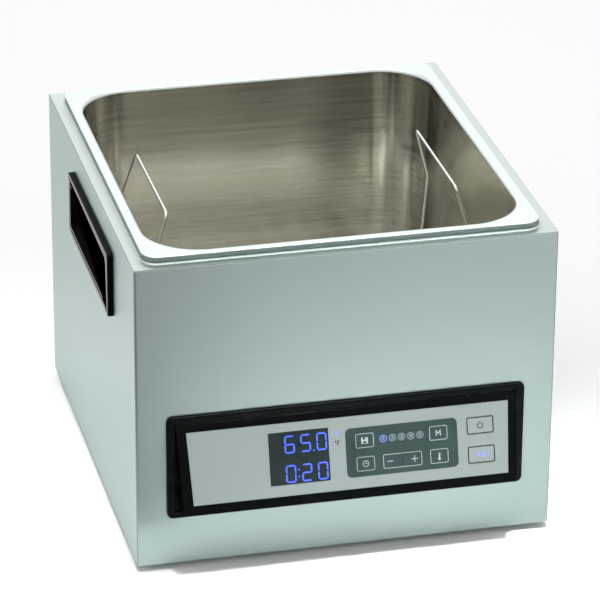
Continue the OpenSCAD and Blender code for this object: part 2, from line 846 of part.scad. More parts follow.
module insulation_floor_pad() {
    color(wool) difference() {
        translate([0, bath_y, pad_z]) linear_extrude(pad_t)
            rounded_rect(2 * mat_half_x, 2 * mat_half_y, mat_corner_r);
        translate([0, bath_y, pad_z - cut]) cylinder(d = cutout_d + 4, h = pad_t + 2 * cut);
        translate([probe_x - probe_d, bath_y - probe_l / 2 - probe_slot, pad_z - cut])
            cube([2 * probe_d, probe_l + probe_slot + 4, pad_t + 2 * cut]);
    }
}

module temperature_probe() {
    color(steel) translate([probe_x, bath_y - probe_l / 2, mat_z - probe_d / 2])
        rotate([-90, 0, 0]) cylinder(d = probe_d, h = probe_l);
}

module probe_clip() {
    clip_t = 0.8;
    color(dark_steel) translate([probe_x, bath_y + clip_t, mat_z - probe_d / 2]) rotate([90, 0, 0])
        linear_extrude(8) difference() {
            union() {
                circle(d = probe_d + 2 * clip_t + 0.1);
                translate([-probe_d / 2 - clip_t, 0]) square([probe_d + 2 * clip_t, probe_d / 2]);
            }
            circle(d = probe_d + 0.1);
            translate([-probe_d / 2, 0]) square([probe_d, probe_d]);
        }
}

module thermal_cutout() {
    color(black) translate([0, bath_y, mat_z - cutout_h]) {
        cylinder(d = cutout_d, h = cutout_h);
        for (x = [-1, 1]) translate([x * 4 - 2.4, -0.4, -5]) cube([4.8, 0.8, 5]);
    }
}

// ---- handles ----

module handle_shell() {
    tub_x = half_w - grip_depth;
    color(black) difference() {
        union() {
            facing_side(half_w, handle_proud) translate([handle_y, handle_z])
                rounded_rect(handle_l, handle_h, handle_corner_r);
            facing_side(tub_x - grip_wall, grip_depth + grip_wall) grip_outline(grip_wall);
        }
        facing_side(tub_x, grip_depth) grip_outline(0);
        facing_side(half_w - cut, handle_proud + 2 * cut)
            translate([handle_y, handle_z]) rounded_rect(grip_l, grip_h, handle_corner_r);
        translate([half_w - cut, 0, 0]) handle_screw_places()
            cylinder(d = screw_d, h = handle_proud - 1 + cut);
    }
}

module left_handle_shell() {
    mirror([1, 0, 0]) handle_shell();
}

module right_handle_shell() {
    handle_shell();
}

module handle_screws() {
    color(dark_steel) for (side = [0, 1]) mirror([side, 0, 0])
        translate([half_w - sheet_t, 0, 0])
            handle_screw_places() pan_screw(screw_d - 0.1, sheet_t + handle_proud - 2, head_d, head_h);
}

// ---- console ----

// The panel's outline with its sides leaning in, inset all round, from one s to another.
module panel_outline(inset, s0, s1) {
    function half_at(s) = panel_half - panel_taper * s / panel_h - inset;
    polygon([[-half_at(s0), -s0], [half_at(s0), -s0], [half_at(s1), -s1], [-half_at(s1), -s1]]);
}

module display_hole(grow) {
    translate([display_x, -display_s]) square([display_w + 2 * grow, display_h + 2 * grow], center = true);
}

module field_hole(grow) {
    translate([field_x, -field_s]) rounded_rect(field_w + 2 * grow, field_h + 2 * grow, field_r + grow);
}

module key_hole(key, grow) {
    translate([key[0], -key[1]]) rounded_rect(key[2] + 2 * grow, key[3] + 2 * grow, key_r + grow);
}

module light_places() {
    for (i = [-2 : 2]) translate([field_x + i * light_pitch, -row_one_s]) children();
}

// A degree ring and a capital C or F, as strokes, with its middle at the origin.
module degree_mark(letter, grow) {
    w = mark_stroke + 2 * grow;
    letter_x = 0.8;
    letter_w = 2;
    translate([-1.6, mark_h / 2 - 0.6]) difference() {
        circle(d = dot_d + grow);
        circle(d = max(dot_d - 2 * mark_stroke - grow, 0.1));
    }
    translate([letter_x, 0]) {
        translate([-letter_w / 2 - grow, -mark_h / 2 - grow]) square([w, mark_h + 2 * grow]);
        translate([-letter_w / 2 - grow, mark_h / 2 - mark_stroke - grow]) square([letter_w + 2 * grow, w]);
        if (letter == "C")
            translate([-letter_w / 2 - grow, -mark_h / 2 - grow]) square([letter_w + 2 * grow, w]);
        else
            translate([-letter_w / 2 - grow, -mark_stroke / 2 - grow])
                square([letter_w * 0.8 + 2 * grow, w]);
    }
}

module unit_mark_outlines(grow) {
    translate([mark_x, -mark_s[0]]) degree_mark("C", grow);
    translate([mark_x, -mark_s[1]]) degree_mark("F", grow);
}

// One bar of a seven-segment digit, with pointed ends, lying along x.
module segment(length, grow) {
    half = segment_w / 2 + grow;
    reach = length / 2 + grow;
    polygon([[-reach, 0], [-reach + half, half], [reach - half, half],
        [reach, 0], [reach - half, -half], [-reach + half, -half]]);
}

// Seven-segment digits as the segments they light: top, upper right, lower right, bottom,
// lower left, upper left, middle.
segments_of = [
    [1, 1, 1, 1, 1, 1, 0], [0, 1, 1, 0, 0, 0, 0], [1, 1, 0, 1, 1, 0, 1], [1, 1, 1, 1, 0, 0, 1],
    [0, 1, 1, 0, 0, 1, 1], [1, 0, 1, 1, 0, 1, 1], [1, 0, 1, 1, 1, 1, 1]];

module digit(value, grow) {
    lit = segments_of[value];
    across = digit_w - segment_w;
    tall = (digit_h - segment_w) / 2;
    places = [[0, tall, 0, across], [across / 2, tall / 2, 90, tall], [across / 2, -tall / 2, 90, tall],
        [0, -tall, 0, across], [-across / 2, -tall / 2, 90, tall], [-across / 2, tall / 2, 90, tall],
        [0, 0, 0, across]];
    for (i = [0 : 6])
        if (lit[i]) translate([places[i][0], places[i][1]]) rotate(places[i][2])
            segment(places[i][3] - segment_joint, grow);
}

// Row of three digits: a list of values from left to right.
module digit_row(values, s, grow) {
    for (i = [0 : 2])
        translate([display_x + (i - 1) * digit_pitch + digits_shift, -s]) digit(values[i], grow);
}

module temperature_row(grow) {
    digit_row([6, 5, 0], row_up_s, grow);
    translate([display_x + digit_pitch / 2 + digits_shift, -row_up_s - digit_h / 2 + segment_w / 2])
        circle(d = dot_d + 2 * grow);
}

module timer_row(grow) {
    digit_row([0, 2, 0], row_low_s, grow);
    for (up = [-1, 1])
        translate([display_x - digit_pitch / 2 + digits_shift, -row_low_s + up * digit_h / 5])
            circle(d = dot_d + 2 * grow);
}

module console_bezel() {
    box_depth = 40;
    color(black) difference() {
        union() {
            // flange ring and its thin inner web, on the front sheet
            facing_front(front_y - console_proud, console_proud) translate([0, console_z]) difference() {
                rounded_rect(console_w, console_h, console_r);
                square([console_w - 2 * console_band, console_h - 2 * console_band], center = true);
            }
            facing_front(front_y - 1, 1) translate([0, console_z])
                square([console_w - console_band, console_h - console_band], center = true);
            // wedge box, cut off behind the front sheet
            difference() {
                on_panel(n = -box_depth) linear_extrude(box_depth) panel_outline(0, 0, panel_h);
                translate([-body_w / 2, console_back_y, 0]) cube([body_w, body_d, body_h]);
            }
            for (x = [-1, 1], z = [-1, 1])
                translate([x * stud_x, front_y - 1, console_z + z * stud_rise])
                    rotate([-90, 0, 0]) cylinder(d = screw_d, h = 8);
        }
        // hollow behind the web
        on_panel(n = -box_depth - cut) linear_extrude(box_depth + cut + web_back)
            panel_outline(console_wall, console_wall, panel_h - console_wall);
        // recess for the fascia plate
        on_panel(n = -fascia_recess - fascia_t) linear_extrude(fascia_recess + fascia_t + cut)
            panel_outline(border_w - light_fit, fascia_top_s - light_fit, fascia_end_s + light_fit);
        // windows in the web
        on_panel(n = web_back - cut) linear_extrude(web_t + 2 * cut) {
            display_hole(light_fit);
            for (key = all_keys) key_hole(key, key_gap);
            light_places() circle(d = light_d + 2 * light_fit);
            translate([mark_x, -(mark_s[0] + mark_s[1]) / 2]) square([6, 13], center = true);
        }
    }
    // screw bosses behind the web
    color(black) for (x = [-1, 1], s = boss_s) on_panel(x * boss_x, s, board_n) difference() {
        cylinder(d = boss_d, h = web_back - board_n);
        translate([0, 0, -cut]) cylinder(d = pilot_d, h = web_back - board_n);
    }
}

module fascia_plate() {
    color(steel) on_panel(n = -fascia_recess - fascia_t) linear_extrude(fascia_t) difference() {
        panel_outline(border_w, fascia_top_s, fascia_end_s);
        display_hole(light_fit);
        field_hole(light_fit);
        for (key = fascia_keys) key_hole(key, key_gap);
        unit_mark_outlines(light_fit / 2);
    }
}

module display_window() {
    color(smoke) on_panel(n = web_back) linear_extrude(web_t + fascia_t) difference() {
        display_hole(0);
        temperature_row(light_fit / 2);
        timer_row(light_fit / 2);
    }
}

module key_field() {
    color(field_green) on_panel(n = -fascia_recess - fascia_t) linear_extrude(fascia_t) difference() {
        field_hole(0);
        for (key = field_keys) key_hole(key, key_gap);
        light_places() circle(d = light_d + 2 * light_fit);
    }
}

// A key: cap, a skirt that stops behind the web, and a stem that ends over its switch.
module key_cap(key) {
    skirt_top = web_back - skirt_gap;
    skirt_end = skirt_top - skirt_t;
    on_panel(key[0], key[1], skirt_top) linear_extrude(-fascia_recess - skirt_top)
        rounded_rect(key[2], key[3], key_r);
    on_panel(key[0], key[1], skirt_end) linear_extrude(skirt_t)
        square([key[2] - 2 * key_r, key[3] + 2 * skirt], center = true);
    on_panel(key[0], key[1], stem_end) cylinder(d = stem_d, h = skirt_end - stem_end);
}

module save_key_cap() { color(field_green) key_cap(save_key); }
module memory_key_cap() { color(field_green) key_cap(memory_key); }
module timer_key_cap() { color(field_green) key_cap(timer_key); }
module minus_key_cap() { color(field_green) key_cap(minus_key); }
module plus_key_cap() { color(field_green) key_cap(plus_key); }
module temperature_key_cap() { color(field_green) key_cap(temperature_key); }
module power_key_cap() { color(steel) key_cap(power_key); }
module start_key_cap() { color(steel) key_cap(start_key); }

module program_lights() {
    color(lit_blue) on_panel(n = web_back) linear_extrude(web_t + fascia_t) light_places()
        circle(d = light_d);
}

module unit_marks() {
    color(lit_blue) {
        on_panel(n = -fascia_recess - fascia_t) linear_extrude(fascia_t) unit_mark_outlines(0);
        on_panel(mark_x, (mark_s[0] + mark_s[1]) / 2, web_back + 0.2)
            linear_extrude(web_t - 0.2) square([5.6, 12.6], center = true);
    }
}

module temperature_digits() {
    color(lit_blue) on_panel(n = web_back) linear_extrude(web_t + fascia_t) temperature_row(0);
}

module timer_digits() {
    color(lit_blue) on_panel(n = web_back) linear_extrude(web_t + fascia_t) timer_row(0);
}

module display_module() {
    color(smoke) on_panel(display_x, display_s, board_n)
        linear_extrude(web_back - board_n - light_fit) square([display_w - 1, display_h - 1], center = true);
}

module control_board() {
    mid_s = (boss_s[0] + boss_s[1]) / 2;
    color(board_green) on_panel(0, mid_s, board_n - board_t) linear_extrude(board_t) difference() {
        square([console_board_w, console_board_h], center = true);
        for (x = [-1, 1], s = boss_s) translate([x * boss_x, mid_s - s])
            circle(d = small_screw_d + 2 * screw_fit);
    }
    color(black) on_panel(ribbon_x, ribbon_s, board_n - board_t - plug_h) linear_extrude(plug_h)
        square([ribbon_w + 2 * plug_wall, plug_w], center = true);
}

module key_switches() {
    color(black) for (key = all_keys) on_panel(key[0], key[1], board_n) {
        translate([-switch_w / 2, -switch_w / 2, 0]) cube([switch_w, switch_w, switch_body_h]);
        cylinder(d = switch_button_d, h = switch_top - board_n);
    }
}

module power_screw_places() {
    for (x = [-1, 1], y = [-1, 1]) translate([power_x + x * spacer_x, power_y + y * spacer_y, 0]) children();
}

module board_screws() {
    color(dark_steel) {
        for (x = [-1, 1], s = boss_s) on_panel(x * boss_x, s, board_n - board_t)
            pan_screw(small_screw_d, small_screw_l, small_head_d, small_head_h);
        power_screw_places() translate([0, 0, power_top]) mirror([0, 0, 1])
            pan_screw(small_screw_d, small_screw_l - 1, small_head_d, small_head_h);
    }
}

// ---- electrics ----

// The direction across a path at point i, stretched at a corner to keep the strip's thickness.
function across(p, i) =
    let (before = i > 0 ? p[i] - p[i - 1] : p[1] - p[0],
         after = i < len(p) - 1 ? p[i + 1] - p[i] : before,
         u = before / norm(before), v = after / norm(after),
         side = [-u[1] - v[1], u[0] + v[0]])
    side / (1 + u * v);

// A flat strip of constant thickness through points in the side view, centred across ribbon_w.
module ribbon(p) {
    translate([ribbon_x - ribbon_w / 2, 0, 0]) rotate([90, 0, 90]) linear_extrude(ribbon_w)
        polygon(concat([for (i = [0 : len(p) - 1]) p[i] + across(p, i) * ribbon_t / 2],
            [for (i = [len(p) - 1 : -1 : 0]) p[i] - across(p, i) * ribbon_t / 2]));
}

module ribbon_cable() {
    socket_n = board_n - board_t - plug_h;
    start_y = panel_y - ribbon_s * sin(panel_tilt) - socket_n * cos(panel_tilt);
    start_z = panel_z - ribbon_s * cos(panel_tilt) + socket_n * sin(panel_tilt);
    lead_n = 5;
    color(wool) ribbon([[start_y, start_z],
        [start_y + lead_n * cos(panel_tilt), start_z - lead_n * sin(panel_tilt)],
        [console_back_y + 5, start_z - 14], [console_back_y + 5, power_top + 22],
        [connector_y, power_top + 20], [connector_y, power_top + connector_h]]);
}

module power_board() {
    color(board_green) difference() {
        translate([power_x - board_w / 2, power_y - board_d / 2, power_z]) cube([board_w, board_d, board_t]);
        power_screw_places() translate([0, 0, power_z - cut])
            cylinder(d = small_screw_d + 2 * screw_fit, h = board_t + 2 * cut);
    }
    color(black) {
        translate([ribbon_x - ribbon_w / 2 - plug_wall, connector_y - plug_w / 2, power_top])
            cube([ribbon_w + 2 * plug_wall, plug_w, connector_h]);
        translate([power_x + board_w / 2 - 14, power_y - 40, power_top]) cube([10, 30, 10]);
    }
}

module board_spacers() {
    color(steel) power_screw_places() translate([0, 0, base_top]) difference() {
        cylinder(d = 6, h = spacer_h);
        translate([0, 0, 0.5]) cylinder(d = pilot_d, h = spacer_h);
    }
}

module relays() {
    color(black) for (y = [0, 1])
        translate([power_x - 5, power_y + 10 + y * 18, power_top]) cube([29, 13, 16]);
}

module core_windows() {
    for (side = [-1, 1])
        translate([side * core_w / 4, 0, core_h / 2])
            cube([core_w / 2 - 2 * core_leg, core_d + 2 * cut, core_h - 2 * core_leg], center = true);
}

module at_transformer() {
    translate([power_x - board_w / 2 + 36, power_y + 12, power_top]) children();
}

module transformer_core() {
    color(dark_steel) at_transformer() difference() {
        translate([-core_w / 2, -core_d / 2, 0]) cube([core_w, core_d, core_h]);
        core_windows();
    }
}

module transformer_coil() {
    coil_z = core_leg + coil_gap;
    coil_h = core_h - 2 * core_leg - 2 * coil_gap;
    window = core_w / 2 - 2 * core_leg;
    span = 2 * (core_w / 4 + window / 2) - 2 * coil_gap;
    hole = 2 * (core_w / 4 - window / 2) + 2 * coil_gap;
    over = 7;
    color(copper) at_transformer() translate([0, 0, coil_z]) linear_extrude(coil_h) difference() {
        square([span, core_d + 2 * over], center = true);
        square([hole, core_d + 2 * coil_gap], center = true);
    }
}

module capacitors() {
    color("gold") translate([power_x + 32, power_y - 8, power_top]) cube([26, 12, 20]);
    color(black) for (i = [0 : 2])
        translate([power_x - 30 + i * 14, power_y - 24, power_top]) cylinder(d = 10, h = 18);
}

module heat_sink() {
    color(steel) translate([power_x + 30, power_y + 14, power_top]) {
        cube([48, 3, 26]);
        for (i = [0 : 6]) translate([i * 7.5, 3, 0]) cube([3, 16, 26]);
    }
}

module fuse() {
    color(steel) translate([power_x + 34, power_y - 34, power_top + 7]) {
        rotate([0, 90, 0]) cylinder(d = 5, h = 20);
        for (x = [0, 15]) translate([x, -3.5, -7]) difference() {
            cube([5, 7, 9.5]);
            translate([-cut, 3.5, 7]) rotate([0, 90, 0]) cylinder(d = 5, h = 5 + 2 * cut);
        }
    }
}

module terminal_block() {
    color(wool) translate([block_x - 24, block_y - 9, base_top]) difference() {
        cube([48, 18, 18]);
        for (i = [0 : 2], y = [-cut, 12])
            translate([9 + i * 15, y, 8]) rotate([-90, 0, 0]) cylinder(d = mains_wire_d + 1, h = 6 + cut);
        for (i = [0 : 2]) translate([9 + i * 15, 9, 13]) cylinder(d = 5, h = 6);
    }
}

module power_inlet() {
    color(black) difference() {
        union() {
            facing_front(back_y, inlet_proud) translate([inlet_x, inlet_z])
                rounded_rect(inlet_flange_w, inlet_flange_h, 4);
            facing_front(back_y - inlet_depth, inlet_depth) translate([inlet_x, inlet_z])
                square([shell_w, shell_h], center = true);
        }
        facing_front(back_y - inlet_depth + inlet_wall, inlet_depth + inlet_proud)
            translate([inlet_x, inlet_z])
            rounded_rect(socket_w, socket_h, 2);
        facing_front(back_y - inlet_depth - cut, inlet_depth) translate([inlet_x, inlet_z])
            pin_outlines(pin_fit);
        for (x = [-1, 1]) translate([inlet_x + x * inlet_screw_x, back_y - cut, inlet_z])
            rotate([-90, 0, 0]) cylinder(d = screw_d + 2 * screw_fit, h = inlet_proud + 2 * cut);
        for (x = [-1, 1]) translate([inlet_x + x * inlet_screw_x, back_y + inlet_proud - head_h, inlet_z])
            rotate([-90, 0, 0]) cylinder(d = head_d + 2 * screw_fit, h = head_h + cut);
    }
}

module pin_outlines(grow) {
    for (i = [-1 : 1])
        translate([i * pin_pitch, i == 0 ? pin_drop : -pin_drop])
            square([pin_w + 2 * grow, pin_h + 2 * grow], center = true);
}

module inlet_pins() {
    color(steel) facing_front(pin_end_y, pin_tail + inlet_wall + pin_l)
        translate([inlet_x, inlet_z]) pin_outlines(0);
}

module inlet_screws() {
    color(dark_steel) for (x = [-1, 1])
        translate([inlet_x + x * inlet_screw_x, back_y + inlet_proud - head_h, inlet_z])
            rotate([90, 0, 0]) pan_screw(screw_d, inlet_screw_l, head_d, head_h);
}

module mains_wires() {
    hole_z = base_top + 8;
    d = mains_wire_d;
    gap = 0.2;
    color("saddlebrown") {
        for (i = [0, 2]) {
            pin_x = inlet_x + (i - 1) * pin_pitch;
            way_x = block_x - 15 + i * 15;
            wire([[pin_x, pin_end_y - gap, inlet_z - pin_drop], [pin_x, pin_end_y - 8, inlet_z - pin_drop],
                [way_x, block_y + 22, hole_z], [way_x, block_y + 5, hole_z]], d);
        }
        for (i = [0, 2]) {
            way_x = block_x - 15 + i * 15;
            end_x = power_x + board_w / 2 - 4;
            wire([[way_x, block_y - 5, hole_z], [way_x, block_y - 20 - 6 * i, hole_z],
                [end_x + 14, power_y - 32 + 10 * i / 2, power_top + 5],
                [end_x + gap, power_y - 32 + 10 * i / 2, power_top + 5]], d);
        }
    }
    color("green") wire([[inlet_x, pin_end_y - gap, inlet_z + pin_drop],
        [inlet_x, pin_end_y - 7, inlet_z + pin_drop],
        [earth_x, earth_y, base_top + earth_stud_h + 8], [earth_x, earth_y, base_top + earth_stud_h]], d);
}

module heater_wires() {
    d = mains_wire_d;
    color("firebrick") for (side = [-1, 1]) {
        start_x = power_x + 66 + side * 3;
        wire([[start_x, power_y + 48, power_top], [start_x, power_y + 48, power_top + 12],
            [70 + side * 5, bath_y + 45, pad_z - 3], [110, bath_y + 45 + side * 5, pad_z - 3],
            [bath_half_x - 4, bath_y + 45 + side * 5, pad_z - 3],
            [bath_half_x - 4, bath_y + 45 + side * 5, pad_z]], d);
    }
}

module sensor_wire() {
    d = signal_wire_d;
    probe_end = bath_y - probe_l / 2;
    probe_z = mat_z - probe_d / 2;
    low_z = pad_z - 3;
    board_s = 58;
    back_n = board_n - board_t;
    board_y = panel_y - board_s * sin(panel_tilt) - back_n * cos(panel_tilt);
    board_z = panel_z - board_s * cos(panel_tilt) + back_n * sin(panel_tilt);
    color("white") wire([[probe_x, probe_end, probe_z], [probe_x, probe_end - 6, probe_z],
        [probe_x, probe_end - 14, low_z], [probe_x, front_y + 10, low_z],
        [probe_x, board_y + 8 * cos(panel_tilt), board_z - 8 * sin(panel_tilt)], [probe_x, board_y, board_z]],
        d, bend = 3);
}

// ---- rack ----

module rack_grid() {
    bars_x = ceil(2 * rack_half_x / (wire_gap + wire_d));
    step = 2 * rack_half_x / bars_x;
    plan_r = rack_corner_r;
    color(steel) translate([rack_x, 0, 0]) {
        // frame: four straight bars and four bends
        for (side = [-1, 1]) {
            translate([side * rack_half_x, rack_y - rack_half_y + plan_r, rack_z])
                rotate([-90, 0, 0]) cylinder(d = frame_wire_d, h = 2 * (rack_half_y - plan_r));
            translate([-rack_half_x + plan_r, rack_y + side * rack_half_y, rack_z])
                rotate([0, 90, 0]) cylinder(d = frame_wire_d, h = 2 * (rack_half_x - plan_r));
        }
        for (turn = [0 : 3]) {
            reach_x = (turn == 0 || turn == 3 ? 1 : -1) * (rack_half_x - plan_r);
            reach_y = (turn < 2 ? 1 : -1) * (rack_half_y - plan_r);
            translate([reach_x, rack_y + reach_y, rack_z]) rotate(90 * turn)
                rotate_extrude(angle = 90) translate([plan_r, 0]) circle(d = frame_wire_d);
        }
        // cross wires, sunk into the frame bars where they are welded
        for (i = [1 : bars_x - 1]) {
            x = -rack_half_x + i * step;
            translate([x, rack_y - rack_half_y, rack_z + wire_cross])
                rotate([-90, 0, 0]) cylinder(d = wire_d, h = 2 * rack_half_y);
        }
        for (y = [-0.5, 0.5])
            translate([-rack_half_x, rack_y + y * rack_half_y, rack_z - wire_cross])
                rotate([0, 90, 0]) cylinder(d = wire_d, h = 2 * rack_half_x);
        // feet, under the front and rear bars
        for (x = [-1, 1], y = [-1, 1])
            translate([x * rack_foot_x, rack_y + y * rack_half_y, floor_z])
                cylinder(d = frame_wire_d, h = rack_rise);
    }
}

module rack_bail() {
    foot_x = rack_half_x;
    top_x = rack_half_x - bail_lean;
    function at(x, l, z) = [x, rack_y + l / 2, z];
    color(steel) wire([at(foot_x, -bail_foot_l, rack_z), at(foot_x, -bail_bend_l, bail_bend_z),
        at(top_x, -bail_top_l, bail_top_z), at(top_x, bail_top_l, bail_top_z),
        at(foot_x, bail_bend_l, bail_bend_z), at(foot_x, bail_foot_l, rack_z)], wire_d);
}

module left_rack_bail() {
    translate([rack_x, 0, 0]) mirror([1, 0, 0]) rack_bail();
}

module right_rack_bail() {
    translate([rack_x, 0, 0]) rack_bail();
}

housing_wrap();
top_frame();
rear_panel();
base_plate();
panel_screws();
rubber_feet();
foot_screws();
bath_pan();
rim_gasket();
pan_clamps();
fixing_nuts();
floor_heating_mat();
wall_heating_band();
insulation_jacket();
insulation_floor_pad();
temperature_probe();
probe_clip();
thermal_cutout();
left_handle_shell();
right_handle_shell();
handle_screws();
console_bezel();
fascia_plate();
display_window();
key_field();
save_key_cap();
memory_key_cap();
timer_key_cap();
minus_key_cap();
plus_key_cap();
temperature_key_cap();
power_key_cap();
start_key_cap();
program_lights();
unit_marks();
temperature_digits();
timer_digits();
display_module();
control_board();
key_switches();
board_screws();
ribbon_cable();
power_board();
board_spacers();
relays();
transformer_core();
transformer_coil();
capacitors();
heat_sink();
fuse();
terminal_block();
power_inlet();
inlet_pins();
inlet_screws();
mains_wires();
heater_wires();
sensor_wire();
rack_grid();
left_rack_bail();
right_rack_bail();
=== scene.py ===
import json
import logging
import math
from dataclasses import dataclass, field
from enum import Enum
from typing import Callable, Optional, Sequence

import bmesh
import bpy
from mathutils import Matrix, Vector

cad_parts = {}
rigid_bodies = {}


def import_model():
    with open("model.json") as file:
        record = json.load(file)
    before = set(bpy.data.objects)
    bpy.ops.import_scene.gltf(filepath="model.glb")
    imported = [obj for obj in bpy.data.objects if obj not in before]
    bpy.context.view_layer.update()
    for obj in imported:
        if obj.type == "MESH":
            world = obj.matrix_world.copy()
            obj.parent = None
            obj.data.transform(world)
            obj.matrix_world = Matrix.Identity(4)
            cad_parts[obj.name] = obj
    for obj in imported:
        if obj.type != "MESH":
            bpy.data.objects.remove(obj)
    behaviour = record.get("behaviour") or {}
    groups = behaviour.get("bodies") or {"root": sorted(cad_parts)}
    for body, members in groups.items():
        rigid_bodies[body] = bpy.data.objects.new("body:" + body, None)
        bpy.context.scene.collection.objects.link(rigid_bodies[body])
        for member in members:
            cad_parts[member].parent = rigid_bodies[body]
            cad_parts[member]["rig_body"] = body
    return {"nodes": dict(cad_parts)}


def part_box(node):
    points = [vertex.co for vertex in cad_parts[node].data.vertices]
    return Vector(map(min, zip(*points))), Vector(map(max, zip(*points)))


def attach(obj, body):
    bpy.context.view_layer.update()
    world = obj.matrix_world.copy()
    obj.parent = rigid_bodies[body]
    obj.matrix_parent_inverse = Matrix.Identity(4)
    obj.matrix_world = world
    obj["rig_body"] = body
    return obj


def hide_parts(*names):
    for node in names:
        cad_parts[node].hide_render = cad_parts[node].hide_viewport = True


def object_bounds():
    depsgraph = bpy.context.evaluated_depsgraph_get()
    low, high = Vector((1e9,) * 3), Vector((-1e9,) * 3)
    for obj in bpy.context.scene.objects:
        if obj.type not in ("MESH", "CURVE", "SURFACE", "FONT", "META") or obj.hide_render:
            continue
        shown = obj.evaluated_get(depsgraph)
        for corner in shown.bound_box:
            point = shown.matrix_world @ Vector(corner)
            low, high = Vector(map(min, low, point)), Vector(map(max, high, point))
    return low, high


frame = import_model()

LOG = logging.getLogger("water_bath")
MM = 0.001
WELD_DISTANCE = 3e-6
FLAT_ANGLE = 0.4
TOUCH = 0.05
CAD_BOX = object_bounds()

Colour = tuple[float, float, float]
Triple = tuple[float, float, float]
EdgeTest = Callable[[Vector, Vector], bool]


# ---------------------------------------------------------------- finishes


class Graph:
    """One material's nodes, with short calls for what the finishes share."""

    def __init__(self, name: str) -> None:
        """Makes the material.

        Args:
            name: the material's name.
        """
        self.material = bpy.data.materials.new(name)
        self.material.use_nodes = True
        self.tree = self.material.node_tree
        self.shader = self.tree.nodes["Principled BSDF"]
        self._where: Optional[bpy.types.NodeSocket] = None

    def add(self, kind: str, **settings: object) -> bpy.types.Node:
        """Adds a node and sets its properties.

        Args:
            kind: the node's type, without its ShaderNode prefix.
            settings: the node's own properties.

        Returns:
            The new node.
        """
        node = self.tree.nodes.new("ShaderNode" + kind)
        for key, value in settings.items():
            setattr(node, key, value)
        return node

    def feed(self, socket: bpy.types.NodeSocket, value: object) -> None:
        """Gives a socket a link or a number.

        Args:
            socket: the socket.
            value: another node's output, or a plain value.
        """
        if isinstance(value, bpy.types.NodeSocket):
            self.tree.links.new(value, socket)
        else:
            socket.default_value = value

    def where(self) -> bpy.types.NodeSocket:
        """Returns the place on the piece, in metres."""
        if self._where is None:
            self._where = self.add("TexCoord").outputs["Object"]
        return self._where

    def along(self, direction: Triple) -> bpy.types.NodeSocket:
        """Measures along a direction.

        Args:
            direction: the direction, its length setting the scale.

        Returns:
            The distance along it.
        """
        node = self.add("VectorMath", operation="DOT_PRODUCT")
        self.feed(node.inputs[0], self.where())
        node.inputs[1].default_value = direction
        return node.outputs["Value"]

    def stretched(self, along: Triple, across: Triple,
                  depth: Triple = (0.0, 0.0, 0.0)) -> bpy.types.NodeSocket:
        """Measures along three directions at once.

        Args:
            along: direction and scale of the first axis.
            across: direction and scale of the second axis.
            depth: direction and scale of the third axis.

        Returns:
            The place, with those directions as its axes.
        """
        node = self.add("CombineXYZ")
        for index, direction in enumerate((along, across, depth)):
            self.feed(node.inputs[index], self.along(direction))
        return node.outputs[0]

    def noise(self, place: bpy.types.NodeSocket, scale: float, detail: float = 3.0,
              roughness: float = 0.55) -> bpy.types.NodeSocket:
        """Adds smooth noise.

        Args:
            place: where the noise is read.
            scale: how many cells there are to a unit.
            detail: octaves of finer noise.
            roughness: strength of the finer octaves.

        Returns:
            The noise, from about 0.2 to 0.8.
        """
        node = self.add("TexNoise")
        self.feed(node.inputs["Vector"], place)
        node.inputs["Scale"].default_value = scale
        node.inputs["Detail"].default_value = detail
        node.inputs["Roughness"].default_value = roughness
        return node.outputs["Fac"]

    def span(self, value: bpy.types.NodeSocket, low: float, high: float, from_low: float = 0.3,
             from_high: float = 0.7) -> bpy.types.NodeSocket:
        """Moves a value from one span of numbers to another.

        Args:
            value: the incoming value.
            low: what the low end becomes.
            high: what the high end becomes.
            from_low: the low end.
            from_high: the high end.

        Returns:
            The moved value.
        """
        node = self.add("MapRange")
        self.feed(node.inputs["Value"], value)
        ends = {"From Min": from_low, "From Max": from_high, "To Min": low, "To Max": high}
        for key, number in ends.items():
            node.inputs[key].default_value = number
        return node.outputs["Result"]

    def blend(self, factor: object, first: object, second: object) -> bpy.types.NodeSocket:
        """Mixes two colours.

        Args:
            factor: the second colour's share.
            first: a colour or a colour socket.
            second: a colour or a colour socket.

        Returns:
            The mix.
        """
        node = self.add("Mix", data_type="RGBA")
        self.feed(node.inputs[0], factor)
        for socket, value in ((node.inputs[6], first), (node.inputs[7], second)):
            self.feed(socket, (*value, 1.0) if isinstance(value, tuple) else value)
        return node.outputs[2]

    def relief(self, height: bpy.types.NodeSocket, depth_mm: float, strength: float = 1.0) -> None:
        """Bends the surface's normals by a height.

        Args:
            height: the height, from 0 to 1.
            depth_mm: what 1 stands for.
            strength: how much of it shows.
        """
        node = self.add("Bump")
        node.inputs["Strength"].default_value = strength
        node.inputs["Distance"].default_value = depth_mm * MM
        self.feed(node.inputs["Height"], height)
        self.feed(self.shader.inputs["Normal"], node.outputs["Normal"])

    def dress(self, **inputs: object) -> bpy.types.Material:
        """Sets the shader's sockets.

        Args:
            inputs: the sockets' names, with underscores for spaces, and their values or links.

        Returns:
            The material.
        """
        for key, value in inputs.items():
            name = key.replace("_", " ")
            if isinstance(value, tuple):
                value = (*value, 1.0)
            self.feed(self.shader.inputs[name], value)
        return self.material


@dataclass(frozen=True)
class Finish:
    """What every finish has: the material's name and its mean colour."""

    name: str
    colour: Colour

    def build(self) -> bpy.types.Material:
        """Returns the finish's material, which each kind of finish makes in its own way."""
        raise NotImplementedError

    def shade(self, factor: float) -> Colour:
        """Returns the mean colour, lightened or darkened."""
        return tuple(min(1.0, c * factor) for c in self.colour)


class Axis(Enum):
    """The axis that a sheet's brushing runs round."""

    X = "X"
    Y = "Y"
    Z = "Z"


